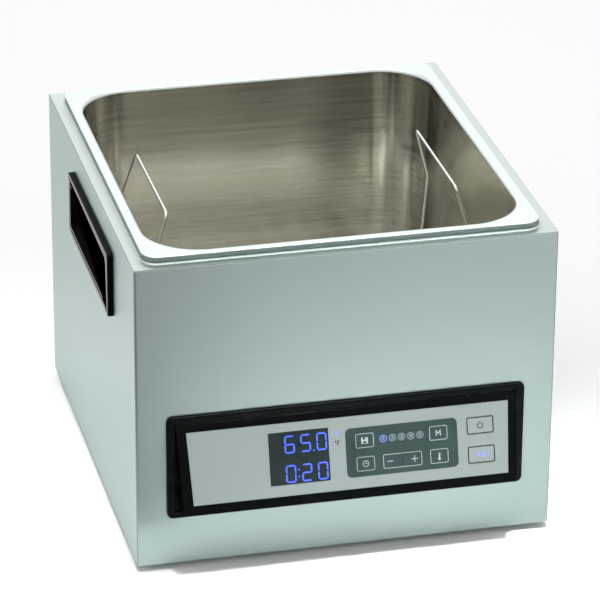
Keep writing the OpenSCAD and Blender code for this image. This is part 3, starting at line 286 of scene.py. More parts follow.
@dataclass(frozen=True)
class BrushedSteel(Finish):
    """Stainless sheet with a fine grain along one direction."""

    along: Triple = (1.0, 1.0, 0.0)
    across: Triple = (0.0, 0.0, 1.0)
    roughness: float = 0.3
    contrast: float = 0.05
    grain_mm: float = 0.9
    depth_mm: float = 0.004
    axis: Axis = Axis.Z
    pull: float = 0.75
    streak_rate: float = 14.0
    scratch_along: float = 5.0
    scratch_across: float = 2.7
    cloud_rate: float = 7.0
    cloud_share: float = 0.12
    gloss_change: float = 0.18

    def grain(self, g: Graph, lengthwise: float, crosswise: float) -> bpy.types.NodeSocket:
        """Lays a place out along the grain.

        Args:
            g: the material's nodes.
            lengthwise: cells to a metre along the grain.
            crosswise: cells to a metre across it.

        Returns:
            The place.
        """
        return g.stretched(tuple(a * lengthwise for a in self.along),
                           tuple(a * crosswise for a in self.across))

    def build(self) -> bpy.types.Material:
        """Makes sheet with long streaks, finer scratches, and a slow change of tone.

        Returns:
            The material.
        """
        g = Graph(self.name)
        slow, fast = self.streak_rate, 1.0 / (self.grain_mm * MM)
        streak = g.noise(self.grain(g, slow, fast), 1.0, 4.0, 0.65)
        scratch = g.noise(self.grain(g, slow * self.scratch_along, fast * self.scratch_across), 1.0, 2.0, 0.6)
        cloud = g.noise(g.where(), self.cloud_rate, 2.0, 0.5)
        dark, light = self.shade(1.0 - self.contrast), self.shade(1.0 + self.contrast)
        tone = g.blend(g.span(streak, 0.0, 1.0), dark, light)
        tone = g.blend(g.span(cloud, 0.0, self.cloud_share), tone, self.shade(0.9))
        g.relief(g.span(scratch, 0.0, 1.0), self.depth_mm)
        brushing = g.add("Tangent", direction_type="RADIAL", axis=self.axis.value)
        g.feed(g.shader.inputs["Tangent"], brushing.outputs["Tangent"])
        change = self.roughness * self.gloss_change
        gloss = g.span(streak, self.roughness - change, self.roughness + change)
        return g.dress(Base_Color=tone, Metallic=1.0, Anisotropic=self.pull, Roughness=gloss)


@dataclass(frozen=True)
class DrawnSteel(Finish):
    """Deep drawn and polished sheet, as in a bath pan."""

    roughness: float = 0.16
    wave_mm: float = 0.02
    wave_rate: float = 26.0
    wipe_along: Triple = (9.0, 7.0, 0.0)
    wipe_across: Triple = (0.0, 0.0, 260.0)

    def build(self) -> bpy.types.Material:
        """Makes sheet with soft waves from the draw, and faint wipe marks.

        Returns:
            The material.
        """
        g = Graph(self.name)
        wave = g.noise(g.where(), self.wave_rate, 1.0, 0.4)
        wipe = g.noise(g.stretched(self.wipe_along, self.wipe_across), 1.0, 3.0, 0.6)
        tone = g.blend(g.span(wipe, 0.0, 1.0), self.shade(0.95), self.shade(1.05))
        tone = g.blend(g.span(wave, 0.0, 0.3), tone, self.shade(0.86))
        g.relief(wave, self.wave_mm)
        return g.dress(Base_Color=tone, Metallic=1.0,
                       Roughness=g.span(wipe, self.roughness * 0.75, self.roughness * 1.3))


@dataclass(frozen=True)
class PlatedSteel(Finish):
    """Bright plated or electropolished steel, as on wire and screws."""

    roughness: float = 0.12
    cloud_rate: float = 240.0
    depth_mm: float = 0.006

    def build(self) -> bpy.types.Material:
        """Makes bright metal with faint clouds.

        Returns:
            The material.
        """
        g = Graph(self.name)
        cloud = g.noise(g.where(), self.cloud_rate, 3.0, 0.6)
        g.relief(cloud, self.depth_mm)
        tone = g.blend(g.span(cloud, 0.0, 1.0), self.shade(0.9), self.shade(1.08))
        return g.dress(Base_Color=tone, Metallic=1.0,
                       Roughness=g.span(cloud, self.roughness * 0.7, self.roughness * 1.5))


@dataclass(frozen=True)
class Moulding(Finish):
    """Moulded plastic or rubber with a fine spark-eroded grain."""

    roughness: float = 0.35
    grain_mm: float = 0.6
    depth_mm: float = 0.01
    coat: float = 0.0
    coat_roughness: float = 0.06
    specular: float = 0.5
    cloud_rate: float = 22.0

    def build(self) -> bpy.types.Material:
        """Makes plastic with a grain and slight wear in its gloss.

        Returns:
            The material.
        """
        g = Graph(self.name)
        grain = g.noise(g.where(), 1.0 / (self.grain_mm * MM), 2.0, 0.6)
        cloud = g.noise(g.where(), self.cloud_rate, 3.0, 0.55)
        g.relief(grain, self.depth_mm)
        tone = g.blend(g.span(cloud, 0.0, 1.0), self.shade(0.85), self.shade(1.18))
        gloss = g.span(cloud, self.roughness * 0.85, self.roughness * 1.18)
        return g.dress(Base_Color=tone, Roughness=gloss, Coat_Weight=self.coat,
                       Coat_Roughness=self.coat_roughness, Specular_IOR_Level=self.specular)


@dataclass(frozen=True)
class PrintedFilm(Finish):
    """A printed legend or a foil with a satin surface."""

    roughness: float = 0.42
    glow: float = 0.0
    specular: float = 0.3
    mottle_rate: float = 900.0
    cloud_rate: float = 35.0
    depth_mm: float = 0.004

    def build(self) -> bpy.types.Material:
        """Makes satin ink with a faint mottle, lit from behind where it glows.

        Returns:
            The material.
        """
        g = Graph(self.name)
        mottle = g.noise(g.where(), self.mottle_rate, 2.0, 0.5)
        slow = g.noise(g.where(), self.cloud_rate, 2.0, 0.5)
        tone = g.blend(g.span(slow, 0.0, 1.0), self.shade(0.93), self.shade(1.07))
        g.relief(mottle, self.depth_mm)
        g.dress(Base_Color=tone, Roughness=g.span(mottle, self.roughness * 0.9, self.roughness * 1.1),
                Specular_IOR_Level=self.specular)
        if self.glow > 0:
            g.dress(Emission_Color=tone, Emission_Strength=self.glow)
        return g.material


@dataclass(frozen=True)
class Felt(Finish):
    """Needled insulation."""

    along: Triple = (900.0, 0.0, 300.0)
    across: Triple = (0.0, 900.0, 0.0)
    upward: Triple = (0.0, 0.0, 500.0)
    depth_mm: float = 0.3
    roughness: float = 0.95

    def build(self) -> bpy.types.Material:
        """Makes matted fibres.

        Returns:
            The material.
        """
        g = Graph(self.name)
        fibre = g.noise(g.stretched(self.along, self.across, self.upward), 1.0, 4.0, 0.7)
        g.relief(fibre, self.depth_mm)
        tone = g.blend(g.span(fibre, 0.0, 1.0), self.shade(0.8), self.shade(1.1))
        return g.dress(Base_Color=tone, Roughness=self.roughness)


@dataclass(frozen=True)
class Laminate(Finish):
    """A circuit board's solder resist over its tracks."""

    track: Colour = (0.1, 0.3, 0.12)
    track_rate: float = 160.0
    track_width: float = 0.06
    track_mm: float = 0.03
    cloud_rate: float = 60.0
    roughness: float = 0.3

    def build(self) -> bpy.types.Material:
        """Makes resist with lighter tracks showing through.

        Returns:
            The material.
        """
        g = Graph(self.name)
        node = g.add("TexBrick")
        g.feed(node.inputs["Vector"], g.where())
        node.inputs["Scale"].default_value = self.track_rate
        node.inputs["Mortar Size"].default_value = self.track_width
        g.relief(node.outputs["Fac"], self.track_mm)
        cloud = g.noise(g.where(), self.cloud_rate, 2.0, 0.5)
        base = g.blend(g.span(cloud, 0.0, 1.0), self.shade(0.8), self.shade(1.2))
        return g.dress(Base_Color=g.blend(node.outputs["Fac"], base, self.track), Roughness=self.roughness)


@dataclass(frozen=True)
class MattPaint(Finish):
    """The matt paint of the studio's floor and card."""

    mottle_rate: float = 3.0
    roughness: float = 0.9
    specular: float = 0.1

    def build(self) -> bpy.types.Material:
        """Makes matt paint with a very slight mottle.

        Returns:
            The material.
        """
        g = Graph(self.name)
        mottle = g.noise(g.where(), self.mottle_rate, 2.0, 0.5)
        tone = g.blend(g.span(mottle, 0.0, 1.0), self.shade(0.995), self.shade(1.0))
        return g.dress(Base_Color=tone, Roughness=self.roughness, Specular_IOR_Level=self.specular)


LENGTHWISE = (1.0, 0.0, 0.0)
SLOPE_ACROSS = (0.0, 0.2756, 0.9613)
FLAT_ACROSS = (0.0, 1.0, 1.0)
SHEET_STEEL = (0.405, 0.505, 0.49)
WALLS = BrushedSteel("housing_walls", SHEET_STEEL, roughness=0.34, contrast=0.035)
TOP_SHEET = BrushedSteel("top_sheet", (0.64, 0.72, 0.70), along=LENGTHWISE, across=FLAT_ACROSS, axis=Axis.Y,
                         roughness=0.36, contrast=0.03)
REAR_SHEET = BrushedSteel("rear_sheet", SHEET_STEEL, along=LENGTHWISE, roughness=0.34, contrast=0.035)
ZINC_SHEET = BrushedSteel("zinc_sheet", (0.5, 0.52, 0.52), along=LENGTHWISE, across=FLAT_ACROSS,
                          roughness=0.5, contrast=0.08, grain_mm=3.0)
FASCIA = BrushedSteel("fascia_foil", (0.45, 0.53, 0.525), along=LENGTHWISE, across=SLOPE_ACROSS,
                      roughness=0.4, contrast=0.03, grain_mm=0.5, pull=0.0)
PAN = DrawnSteel("drawn_pan", (0.64, 0.635, 0.57), roughness=0.17)
# Painted highlight: the pan's rim is the same drawn steel as the pan, made lighter where it faces up.
LIT_RIM = BrushedSteel("pan_rim_painted_highlight", (0.80, 0.87, 0.85), roughness=0.28, contrast=0.03, pull=0.2)
# Painted shade: the upright side of the rim's lip is the same steel, made darker.
SHADED_LIP_SIDE = BrushedSteel("rim_lip_painted_shade", (0.24, 0.30, 0.29), roughness=0.4, contrast=0.12, grain_mm=0.5,
                        pull=0.3)
# Painted shade: a darker copy of the sheet steel for the bends of the folds.
SHADED_FOLD = BrushedSteel("fold_painted_shade", (0.26, 0.33, 0.32), roughness=0.4, contrast=0.05)
# Painted shade: a darker copy of the top sheet's steel for the upright side of the seat step.
SHADED_SEAT_SIDE = BrushedSteel("seat_step_painted_shade", (0.20, 0.25, 0.245), roughness=0.4, contrast=0.08, grain_mm=0.5,
                         pull=0.3)
WIRE = PlatedSteel("rack_wire", (0.88, 0.88, 0.86), roughness=0.12)
FASTENER = PlatedSteel("zinc_fastener", (0.62, 0.63, 0.63), roughness=0.25)
CONSOLE_BLACK = Moulding("console_black", (0.0012, 0.002, 0.0026), roughness=0.25, grain_mm=0.4,
                         depth_mm=0.006, specular=0.06)
HANDLE_BLACK = Moulding("handle_black", (0.002, 0.003, 0.003), roughness=0.12, grain_mm=0.8,
                        depth_mm=0.003, specular=0.65)
HANDLE_SIDE = Moulding("handle_side_black", (0.002, 0.0035, 0.0035), roughness=0.3, grain_mm=0.8,
                       depth_mm=0.004, specular=0.04)
POCKET_BLACK = Moulding("pocket_black", (0.002, 0.002, 0.002), roughness=0.6, specular=0.05)
INNER_BLACK = Moulding("inner_black", (0.03, 0.03, 0.03), roughness=0.5)
RUBBER = Moulding("foot_rubber", (0.025, 0.025, 0.025), roughness=0.7, grain_mm=0.5, depth_mm=0.03,
                  specular=0.3)
GASKET = Moulding("gasket_rubber", (0.03, 0.03, 0.03), roughness=0.65, specular=0.3)
SILICONE = Moulding("heater_silicone", (0.4, 0.1, 0.06), roughness=0.6, grain_mm=1.5, depth_mm=0.1)
NYLON = Moulding("terminal_nylon", (0.7, 0.7, 0.64), roughness=0.5)
SHEATH = Moulding("wire_sheath", (0.33, 0.14, 0.06), roughness=0.45)
GREY_SHEATH = Moulding("grey_sheath", (0.42, 0.42, 0.42), roughness=0.5)
YELLOW = Moulding("capacitor_yellow", (0.6, 0.4, 0.05), roughness=0.3)
SMOKE = Moulding("display_smoke", (0.016, 0.025, 0.025), roughness=0.3, grain_mm=3.0, depth_mm=0.002,
                 specular=0.1)
FIELD = PrintedFilm("key_field_ink", (0.03, 0.05, 0.05), roughness=0.45, specular=0.06)
LEGEND = PrintedFilm("pale_legend", (0.38, 0.43, 0.42), roughness=0.4)
DARK_LEGEND = PrintedFilm("dark_legend", (0.02, 0.028, 0.032), roughness=0.45, specular=0.08)
BLUE_LEGEND = PrintedFilm("blue_legend", (0.22, 0.26, 0.75), roughness=0.4, glow=0.12)
FAINT_LEGEND = PrintedFilm("faint_legend", (0.22, 0.27, 0.27), roughness=0.4, specular=0.12)
DIM_LENS = PrintedFilm("dim_lens", (0.07, 0.1, 0.105), roughness=0.3)
LIT_DIGIT = PrintedFilm("lit_digit", (0.06, 0.11, 0.85), roughness=0.4, glow=0.75)
LIT_MARK = PrintedFilm("lit_mark", (0.14, 0.22, 0.72), roughness=0.4, glow=0.35)
BOARD = Laminate("circuit_board", (0.02, 0.12, 0.05))
FELT = Felt("insulation_felt", (0.78, 0.75, 0.66))
CORE = PlatedSteel("core_steel", (0.2, 0.2, 0.21), roughness=0.5)
COPPER = PlatedSteel("coil_copper", (0.65, 0.3, 0.14), roughness=0.3)
BRASS = PlatedSteel("pin_brass", (0.75, 0.62, 0.3), roughness=0.2)
HEAT_SINK = BrushedSteel("heat_sink", (0.6, 0.6, 0.6), along=(0.0, 1.0, 0.0), across=(1.0, 0.0, 1.0),
                         roughness=0.45)
FLOOR_PAINT = MattPaint("studio_floor", (0.93, 0.93, 0.93))
CARD_PAINT = MattPaint("studio_flag", (0.2, 0.2, 0.2))

_MADE: dict[str, bpy.types.Material] = {}


def material(finish: Finish) -> bpy.types.Material:
    """Makes a finish's material at its first use.

    Args:
        finish: the finish.

    Returns:
        Its material.
    """
    if finish.name not in _MADE:
        _MADE[finish.name] = finish.build()
    return _MADE[finish.name]


# ---------------------------------------------------------------- shaping


@dataclass(frozen=True)
class Rounding:
    """Edges of a piece that are rounded: which ones, and how much."""

    where: EdgeTest
    width: float
    segments: int = 3


def sharp(edge: bmesh.types.BMEdge, angle: float = 28.0) -> bool:
    """Says whether an edge's two faces meet at more than an angle in degrees."""
    return len(edge.link_faces) == 2 and edge.calc_face_angle(0.0) > math.radians(angle)


def settle(bm: bmesh.types.BMesh, name: str, body: str, finish: Finish,
           replaces: Sequence[str] = (), smooth: float = 32.0, outward: bool = False) -> bpy.types.Object:
    """Turns a shape in metres into a piece of the object.

    Args:
        bm: the shape, which is used up.
        name: the piece's name.
        body: the body that it moves with.
        finish: what its surface is.
        replaces: the CAD nodes that it stands for.
        smooth: the angle in degrees under which faces blend.
        outward: whether the faces are turned outwards first.

    Returns:
        The piece.
    """
    if outward:
        bmesh.ops.recalc_face_normals(bm, faces=bm.faces)
    for face in bm.faces:
        face.smooth = True
    mesh = bpy.data.meshes.new(name)
    bm.to_mesh(mesh)
    bm.free()
    mesh.set_sharp_from_angle(angle=math.radians(smooth))
    mesh.materials.append(material(finish))
    piece = bpy.data.objects.new(name, mesh)
    bpy.context.scene.collection.objects.link(piece)
    weigh = piece.modifiers.new("even_shading", "WEIGHTED_NORMAL")
    weigh.keep_sharp = True
    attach(piece, body)
    if replaces:
        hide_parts(*replaces)
    LOG.info("%s rides on %s, %d faces, %s", name, body, len(mesh.polygons), finish.name)
    return piece


def merged_copy(node: str) -> bmesh.types.BMesh:
    """Copies a CAD node's shape, with its triangles joined and its flat faces whole.

    Args:
        node: the CAD node.

    Returns:
        The copy, in metres.
    """
    bm = bmesh.new()
    bm.from_mesh(frame["nodes"][node].data)
    bmesh.ops.remove_doubles(bm, verts=bm.verts, dist=WELD_DISTANCE)
    bmesh.ops.dissolve_limit(bm, angle_limit=math.radians(FLAT_ANGLE), verts=bm.verts, edges=bm.edges)
    return bm


def round_edges(bm: bmesh.types.BMesh, rules: Sequence[Rounding]) -> None:
    """Rounds the sharp edges that each rule picks.

    Args:
        bm: the shape, in metres.
        rules: what to round, in order, with widths in millimetres.
    """
    for rule in rules:
        picked = [e for e in bm.edges if sharp(e) and rule.where(e.verts[0].co / MM, e.verts[1].co / MM)]
        if picked:
            bmesh.ops.bevel(bm, geom=picked, offset=rule.width * MM, offset_type="OFFSET",
                            segments=rule.segments, profile=0.5, affect="EDGES", clamp_overlap=True,
                            material=-1)


def refine(node: str, finish: Finish, rules: Sequence[Rounding] = (),
           smooth: float = 32.0) -> bpy.types.Object:
    """Makes a finer copy of a CAD node, in the node's place.

    Args:
        node: the CAD node.
        finish: what its surface is.
        rules: the edges that are rounded.
        smooth: the angle in degrees under which faces blend.

    Returns:
        The new piece.
    """
    bm = merged_copy(node)
    round_edges(bm, rules)
    body = frame["nodes"][node]["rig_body"]
    return settle(bm, node + "_fine", body, finish, (node,), smooth)


def add_finishes(piece: bpy.types.Object, *finishes: Finish) -> None:
    """Gives a piece further finishes, which its faces can then take.

    Args:
        piece: the piece.
        finishes: the finishes, in the order of their places after the first.
    """
    for finish in finishes:
        piece.data.materials.append(material(finish))


def dress(node: str, finish: Finish) -> None:
    """Gives a carried-over CAD node its finish.

    Args:
        node: the CAD node.
        finish: what its surface is.
    """
    mesh = frame["nodes"][node].data
    mesh.materials.clear()
    mesh.materials.append(material(finish))
    LOG.info("%s keeps its CAD shape, %s", node, finish.name)


def everywhere(_a: Vector, _b: Vector) -> bool:
    """Picks every edge."""
    return True


class Drawing:
    """Thin printed shapes on a plane, drawn in millimetres."""

    fewest_steps: int = 8
    step_angle: float = 9.0

    def __init__(self, thickness: float = 0.05) -> None:
        """Starts an empty drawing.

        Args:
            thickness: how far the ink stands up.
        """
        self.bm = bmesh.new()
        self.thickness = thickness

    def _raise(self, faces: Sequence[bmesh.types.BMFace]) -> None:
        """Gives flat faces the ink's thickness.

        Args:
            faces: the faces, all facing the same way.
        """
        made = bmesh.ops.extrude_face_region(self.bm, geom=list(faces))
        up = [g for g in made["geom"] if isinstance(g, bmesh.types.BMVert)]
        bmesh.ops.translate(self.bm, vec=(0, 0, self.thickness), verts=up)

    def bar(self, start: tuple[float, float], end: tuple[float, float], width: float) -> None:
        """Draws a straight stroke.

        Args:
            start: middle of one end.
            end: middle of the other end.
            width: the stroke's width.
        """
        way = Vector(end) - Vector(start)
        middle = (Vector(start) + Vector(end)) / 2
        place = (Matrix.Translation((*middle, 0)) @ Matrix.Rotation(math.atan2(way.y, way.x), 4, "Z")
                 @ Matrix.Diagonal((way.length / 2, width / 2, 1, 1)))
        made = bmesh.ops.create_grid(self.bm, x_segments=1, y_segments=1, size=1.0, matrix=place)
        self._raise({f for v in made["verts"] for f in v.link_faces})

    def disc(self, x: float, y: float, radius: float, segments: int = 24) -> None:
        """Draws a filled circle.

        Args:
            x: its middle.
            y: its middle.
            radius: its radius.
            segments: its corners.
        """
        made = bmesh.ops.create_circle(self.bm, cap_ends=True, segments=segments, radius=radius,
                                       matrix=Matrix.Translation((x, y, 0)))
        self._raise({f for v in made["verts"] for f in v.link_faces})

    def arc(self, x: float, y: float, radius: float, width: float, start: float = 0.0,
            sweep: float = 360.0) -> None:
        """Draws a ring or a part of one.

        Args:
            x: middle of the ring.
            y: middle of the ring.
            radius: radius to the middle of the stroke.
            width: the stroke's width.
            start: the angle in degrees where it begins.
            sweep: the angle in degrees that it covers.
        """
        turn = Matrix.Translation((x, y, 0)) @ Matrix.Rotation(math.radians(start), 4, "Z")
        reaches = (radius - width / 2, radius + width / 2)
        ends = [self.bm.verts.new(turn @ Vector((reach, 0, 0))) for reach in reaches]
        edge = self.bm.edges.new(ends)
        whole = sweep >= 360.0
        before = set(self.bm.faces)
        steps = max(self.fewest_steps, int(sweep / self.step_angle))
        bmesh.ops.spin(self.bm, geom=[edge, *ends], cent=(x, y, 0), axis=(0, 0, 1), dvec=(0, 0, 0),
                       angle=math.radians(sweep), steps=steps, use_merge=whole, use_duplicate=False)
        self._raise([f for f in self.bm.faces if f not in before])

    def outline(self, x: float, y: float, width: float, height: float, radius: float,
                stroke: float) -> None:
        """Draws a rounded rectangle's outline.

        Args:
            x: middle of the rectangle.
            y: middle of the rectangle.
            width: outside width.
            height: outside height.
            radius: radius of its corners.
            stroke: the line's width.
        """
        face = rounded_face(self.bm, x, y, width, height, radius)
        made = bmesh.ops.inset_individual(self.bm, faces=[face], thickness=stroke, use_even_offset=True)
        bmesh.ops.delete(self.bm, geom=[face], context="FACES_ONLY")
        self._raise(made["faces"])

    def panel(self, x: float, y: float, width: float, height: float, radius: float) -> None:
        """Draws a filled rounded rectangle."""
        self._raise([rounded_face(self.bm, x, y, width, height, radius)])

    def polygon(self, points: Sequence[tuple[float, float]]) -> None:
        """Draws a filled shape through its corners."""
        face = self.bm.faces.new([self.bm.verts.new((*p, 0)) for p in points])
        self._raise([face])

    def glyph(self, text: str, x: float, y: float, size: float) -> None:
        """Draws a plain numeral or letter.

        Args:
            text: what is drawn.
            x: its middle.
            y: its middle.
            size: the letter's height over a capital's.
        """
        curve = bpy.data.curves.new("glyph", "FONT")
        curve.body, curve.size = text, size
        curve.align_x, curve.align_y = "CENTER", "CENTER"
        holder = bpy.data.objects.new("glyph", curve)
        bpy.context.scene.collection.objects.link(holder)
        bpy.context.view_layer.update()
        mesh = bpy.data.meshes.new_from_object(holder.evaluated_get(bpy.context.evaluated_depsgraph_get()))
        before = set(self.bm.faces)
        kept = set(self.bm.verts)
        self.bm.from_mesh(mesh)
        fresh = [v for v in self.bm.verts if v not in kept]
        bmesh.ops.translate(self.bm, vec=(x, y, 0), verts=fresh)
        self._raise([f for f in self.bm.faces if f not in before])
        bpy.data.objects.remove(holder)
        bpy.data.curves.remove(curve)
        bpy.data.meshes.remove(mesh)

    def stand(self, place: Matrix) -> bmesh.types.BMesh:
        """Moves the drawing to its place.

        Args:
            place: from the drawing's plane to the object's frame, in millimetres.

        Returns:
            The drawing, in metres.
        """
        bmesh.ops.transform(self.bm, matrix=Matrix.Scale(MM, 4) @ place, verts=self.bm.verts)
        return self.bm


def rounded_face(bm: bmesh.types.BMesh, x: float, y: float, width: float, height: float,
                 radius: float, segments: int = 6) -> bmesh.types.BMFace:
    """Adds a flat rounded rectangle.

    Args:
        bm: where it is added.
        x: its middle.
        y: its middle.
        width: its width.
        height: its height.
        radius: radius of its corners.
        segments: steps round a corner.

    Returns:
        The new face.
    """
    place = Matrix.Translation((x, y, 0)) @ Matrix.Diagonal((width / 2, height / 2, 1, 1))
    corners = bmesh.ops.create_grid(bm, x_segments=1, y_segments=1, size=1.0, matrix=place)["verts"]
    bmesh.ops.bevel(bm, geom=corners, offset=radius, offset_type="OFFSET", segments=segments, profile=0.5,
                    affect="VERTICES", clamp_overlap=True, material=-1)
    middle, near, most = Vector((x, y, 0)), 1e-3, 0.6 * width * height
    faces = [f for f in bm.faces if (f.calc_center_median() - middle).length < near
             and len(f.verts) >= 4 * segments and f.calc_area() > most]
    return faces[-1]


# ---------------------------------------------------------------- sub-assemblies


@dataclass
class Housing:
    """The folded steel box with its top sheet, rear panel, base and feet."""

    width: float = 335.0
    top: float = 260.0
    edge_round: float = 0.5
    rear_round: float = 0.3
    foot_round: float = 0.8
    screw_round: float = 0.25
    long_edge: float = 30.0
    corner_reach: float = 2.5
    rear_reach: float = 3.0
    corner_lean: float = 0.35
    upright: float = 0.3
    level: float = 0.95

    def build(self) -> None:
        """Makes the sheets with softened edges, and dresses the rest."""
        self.make_wrap()
        self.make_top()
        refine("rear_panel", REAR_SHEET, (Rounding(self.at_back, self.rear_round, 2),))
        dress("base_plate", ZINC_SHEET)
        refine("rubber_feet", RUBBER, (Rounding(everywhere, self.foot_round, 2),))
        refine("panel_screws", FASTENER, (Rounding(everywhere, self.screw_round, 2),))
        dress("foot_screws", FASTENER)

    def make_wrap(self) -> None:
        """Makes the folded walls, with painted shade on their corner folds."""
        wrap = refine("housing_wrap", WALLS, (Rounding(self.outside, self.edge_round, 2),))
        # Painted shade: the corner folds, whose faces lean between two walls, take the darker steel.
        add_finishes(wrap, SHADED_FOLD)
        for face in wrap.data.polygons:
            if min(abs(face.normal.x), abs(face.normal.y)) > self.corner_lean:
                face.material_index = 1

    def make_top(self) -> None:
        """Makes the top sheet, with painted shade on the seat's step and on its outer folds."""
        sheet = refine("top_frame", TOP_SHEET, (Rounding(self.on_top, self.edge_round, 2),))
        add_finishes(sheet, SHADED_SEAT_SIDE, SHADED_FOLD)
        for face in sheet.data.polygons:
            lean, height = abs(face.normal.z), face.center.z / MM
            # Painted shade: upright faces above the sheet's top, which form the seat step's side, take the
            # darker steel.
            if lean < self.upright and height > self.top + TOUCH:
                face.material_index = 1
            # Painted shade: the sloping faces of the outer folds, below the sheet's top, take the darker
            # steel.
            elif self.upright < lean < self.level and height < self.top:
                face.material_index = 2

    def outside(self, a: Vector, b: Vector) -> bool:
        """Picks the walls' long outer edges."""
        reach = self.width / 2 - self.corner_reach
        return (a - b).length > self.long_edge and min(abs(a.x), abs(b.x)) > reach

    def on_top(self, a: Vector, b: Vector) -> bool:
        """Picks the edges on the top sheet's upper face."""
        return min(a.z, b.z) > self.top - TOUCH / 5

    def at_back(self, a: Vector, b: Vector) -> bool:
        """Picks the rear panel's long outer edges."""
        return (a - b).length > self.long_edge and min(a.y, b.y) > CAD_BOX[1].y / MM - self.rear_reach


@dataclass
class BathPan:
    """The drawn pan with its rim, and the seal under it."""

    lip_round: float = 0.5
    rim_depth: float = 4.5
    lip_width: float = 4.5
    upright: float = 0.5
    smooth: float = 40.0

    def build(self) -> None:
        """Makes the pan with rounded rim edges, a painted highlight on its rim and painted shade on the side
        of its lip.
        """
        low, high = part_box("bath_pan")
        self.half = (high - low) / 2 / MM
        self.middle = (high + low) / 2 / MM
        self.top = high.z / MM
        pan = refine("bath_pan", PAN, (Rounding(self.on_rim, self.lip_round, 3),), self.smooth)
        # The rim's faces take the painted highlight, and the lip's upright side takes the painted shade.
        add_finishes(pan, LIT_RIM, SHADED_LIP_SIDE)
        for face in pan.data.polygons:
            face.material_index = self.zone(face)
        dress("rim_gasket", GASKET)
        dress("pan_clamps", ZINC_SHEET)
        dress("fixing_nuts", FASTENER)

    def zone(self, face: bpy.types.MeshPolygon) -> int:
        """Chooses a face's copy of the pan steel: plain, with painted highlight, or with painted shade.

        Args:
            face: the face.

        Returns:
            0 for the walls, 1 for the rim with its painted highlight and 2 for the side of its lip with its
            painted shade.
        """
        place = face.center / MM
        if place.z < self.top - self.rim_depth:
            return 0
        return 2 if abs(face.normal.z) < self.upright and self.on_lip(place) else 1

    def on_lip(self, v: Vector) -> bool:
        """Says whether a point is over the rim's turned-down lip, seen from above.

        Args:
            v: the point, in millimetres.

        Returns:
            Whether it is within the lip's width of the rim's outline.
        """
        edge = max(abs(v.x - self.middle.x) - self.half.x, abs(v.y - self.middle.y) - self.half.y)
        return edge > -self.lip_width

    def on_rim(self, a: Vector, b: Vector) -> bool:
        """Picks the rim's outer top edge."""
        return min(a.z, b.z) > self.top - TOUCH / 5 and self.on_lip(a) and self.on_lip(b)


@dataclass(frozen=True)
class Slope:
    """The console's tilted panel as a plane to work on: x to the right, s down the slope, n outwards."""

    y: float = -174.577
    z: float = 127.638
    tilt: float = 16.0
    height: float = 72.0
    half: float = 136.8
    face: float = -0.2

    def at(self, x: float, s: float, n: float) -> Matrix:
        """Works out where a drawing stands on the panel.

        Args:
            x: its middle, to the right of the panel's middle.
            s: its middle, down from the panel's top edge.
            n: its height out of the panel.

        Returns:
            The place and turn that take the drawing's plane there.
        """
        up, out = self.up(), self.out()
        origin = Vector((x, self.y, self.z)) - up * s + out * n
        turned = Matrix((Vector((1, 0, 0)), up, out)).transposed().to_4x4()
        return Matrix.Translation(origin) @ turned

    def up(self) -> Vector:
        """Returns the direction up the slope."""
        angle = math.radians(self.tilt)
        return Vector((0, math.sin(angle), math.cos(angle)))

    def out(self) -> Vector:
        """Returns the direction out of the panel."""
        angle = math.radians(self.tilt)
        return Vector((0, -math.cos(angle), math.sin(angle)))

    def depth(self, point: Vector) -> float:
        """Returns how far a point is out of the panel's plane."""
        return (point - Vector((0, self.y, self.z))).dot(self.out())

    def down(self, point: Vector) -> float:
        """Returns how far a point is down the slope."""
        return -(point - Vector((0, self.y, self.z))).dot(self.up())


class Symbol(Enum):
    """What is printed on a key."""

    DISK = "disk"
    MEMORY = "memory"
    CLOCK = "clock"
    MINUS = "minus"
    PLUS = "plus"
    THERMOMETER = "thermometer"
    POWER = "power"
    START = "start"


@dataclass(frozen=True)
class Key:
    """One key: its node's first word, place, size and symbol."""

    word: str
    x: float
    s: float
    width: float
    height: float
    symbol: Symbol
    ink: Finish = LEGEND


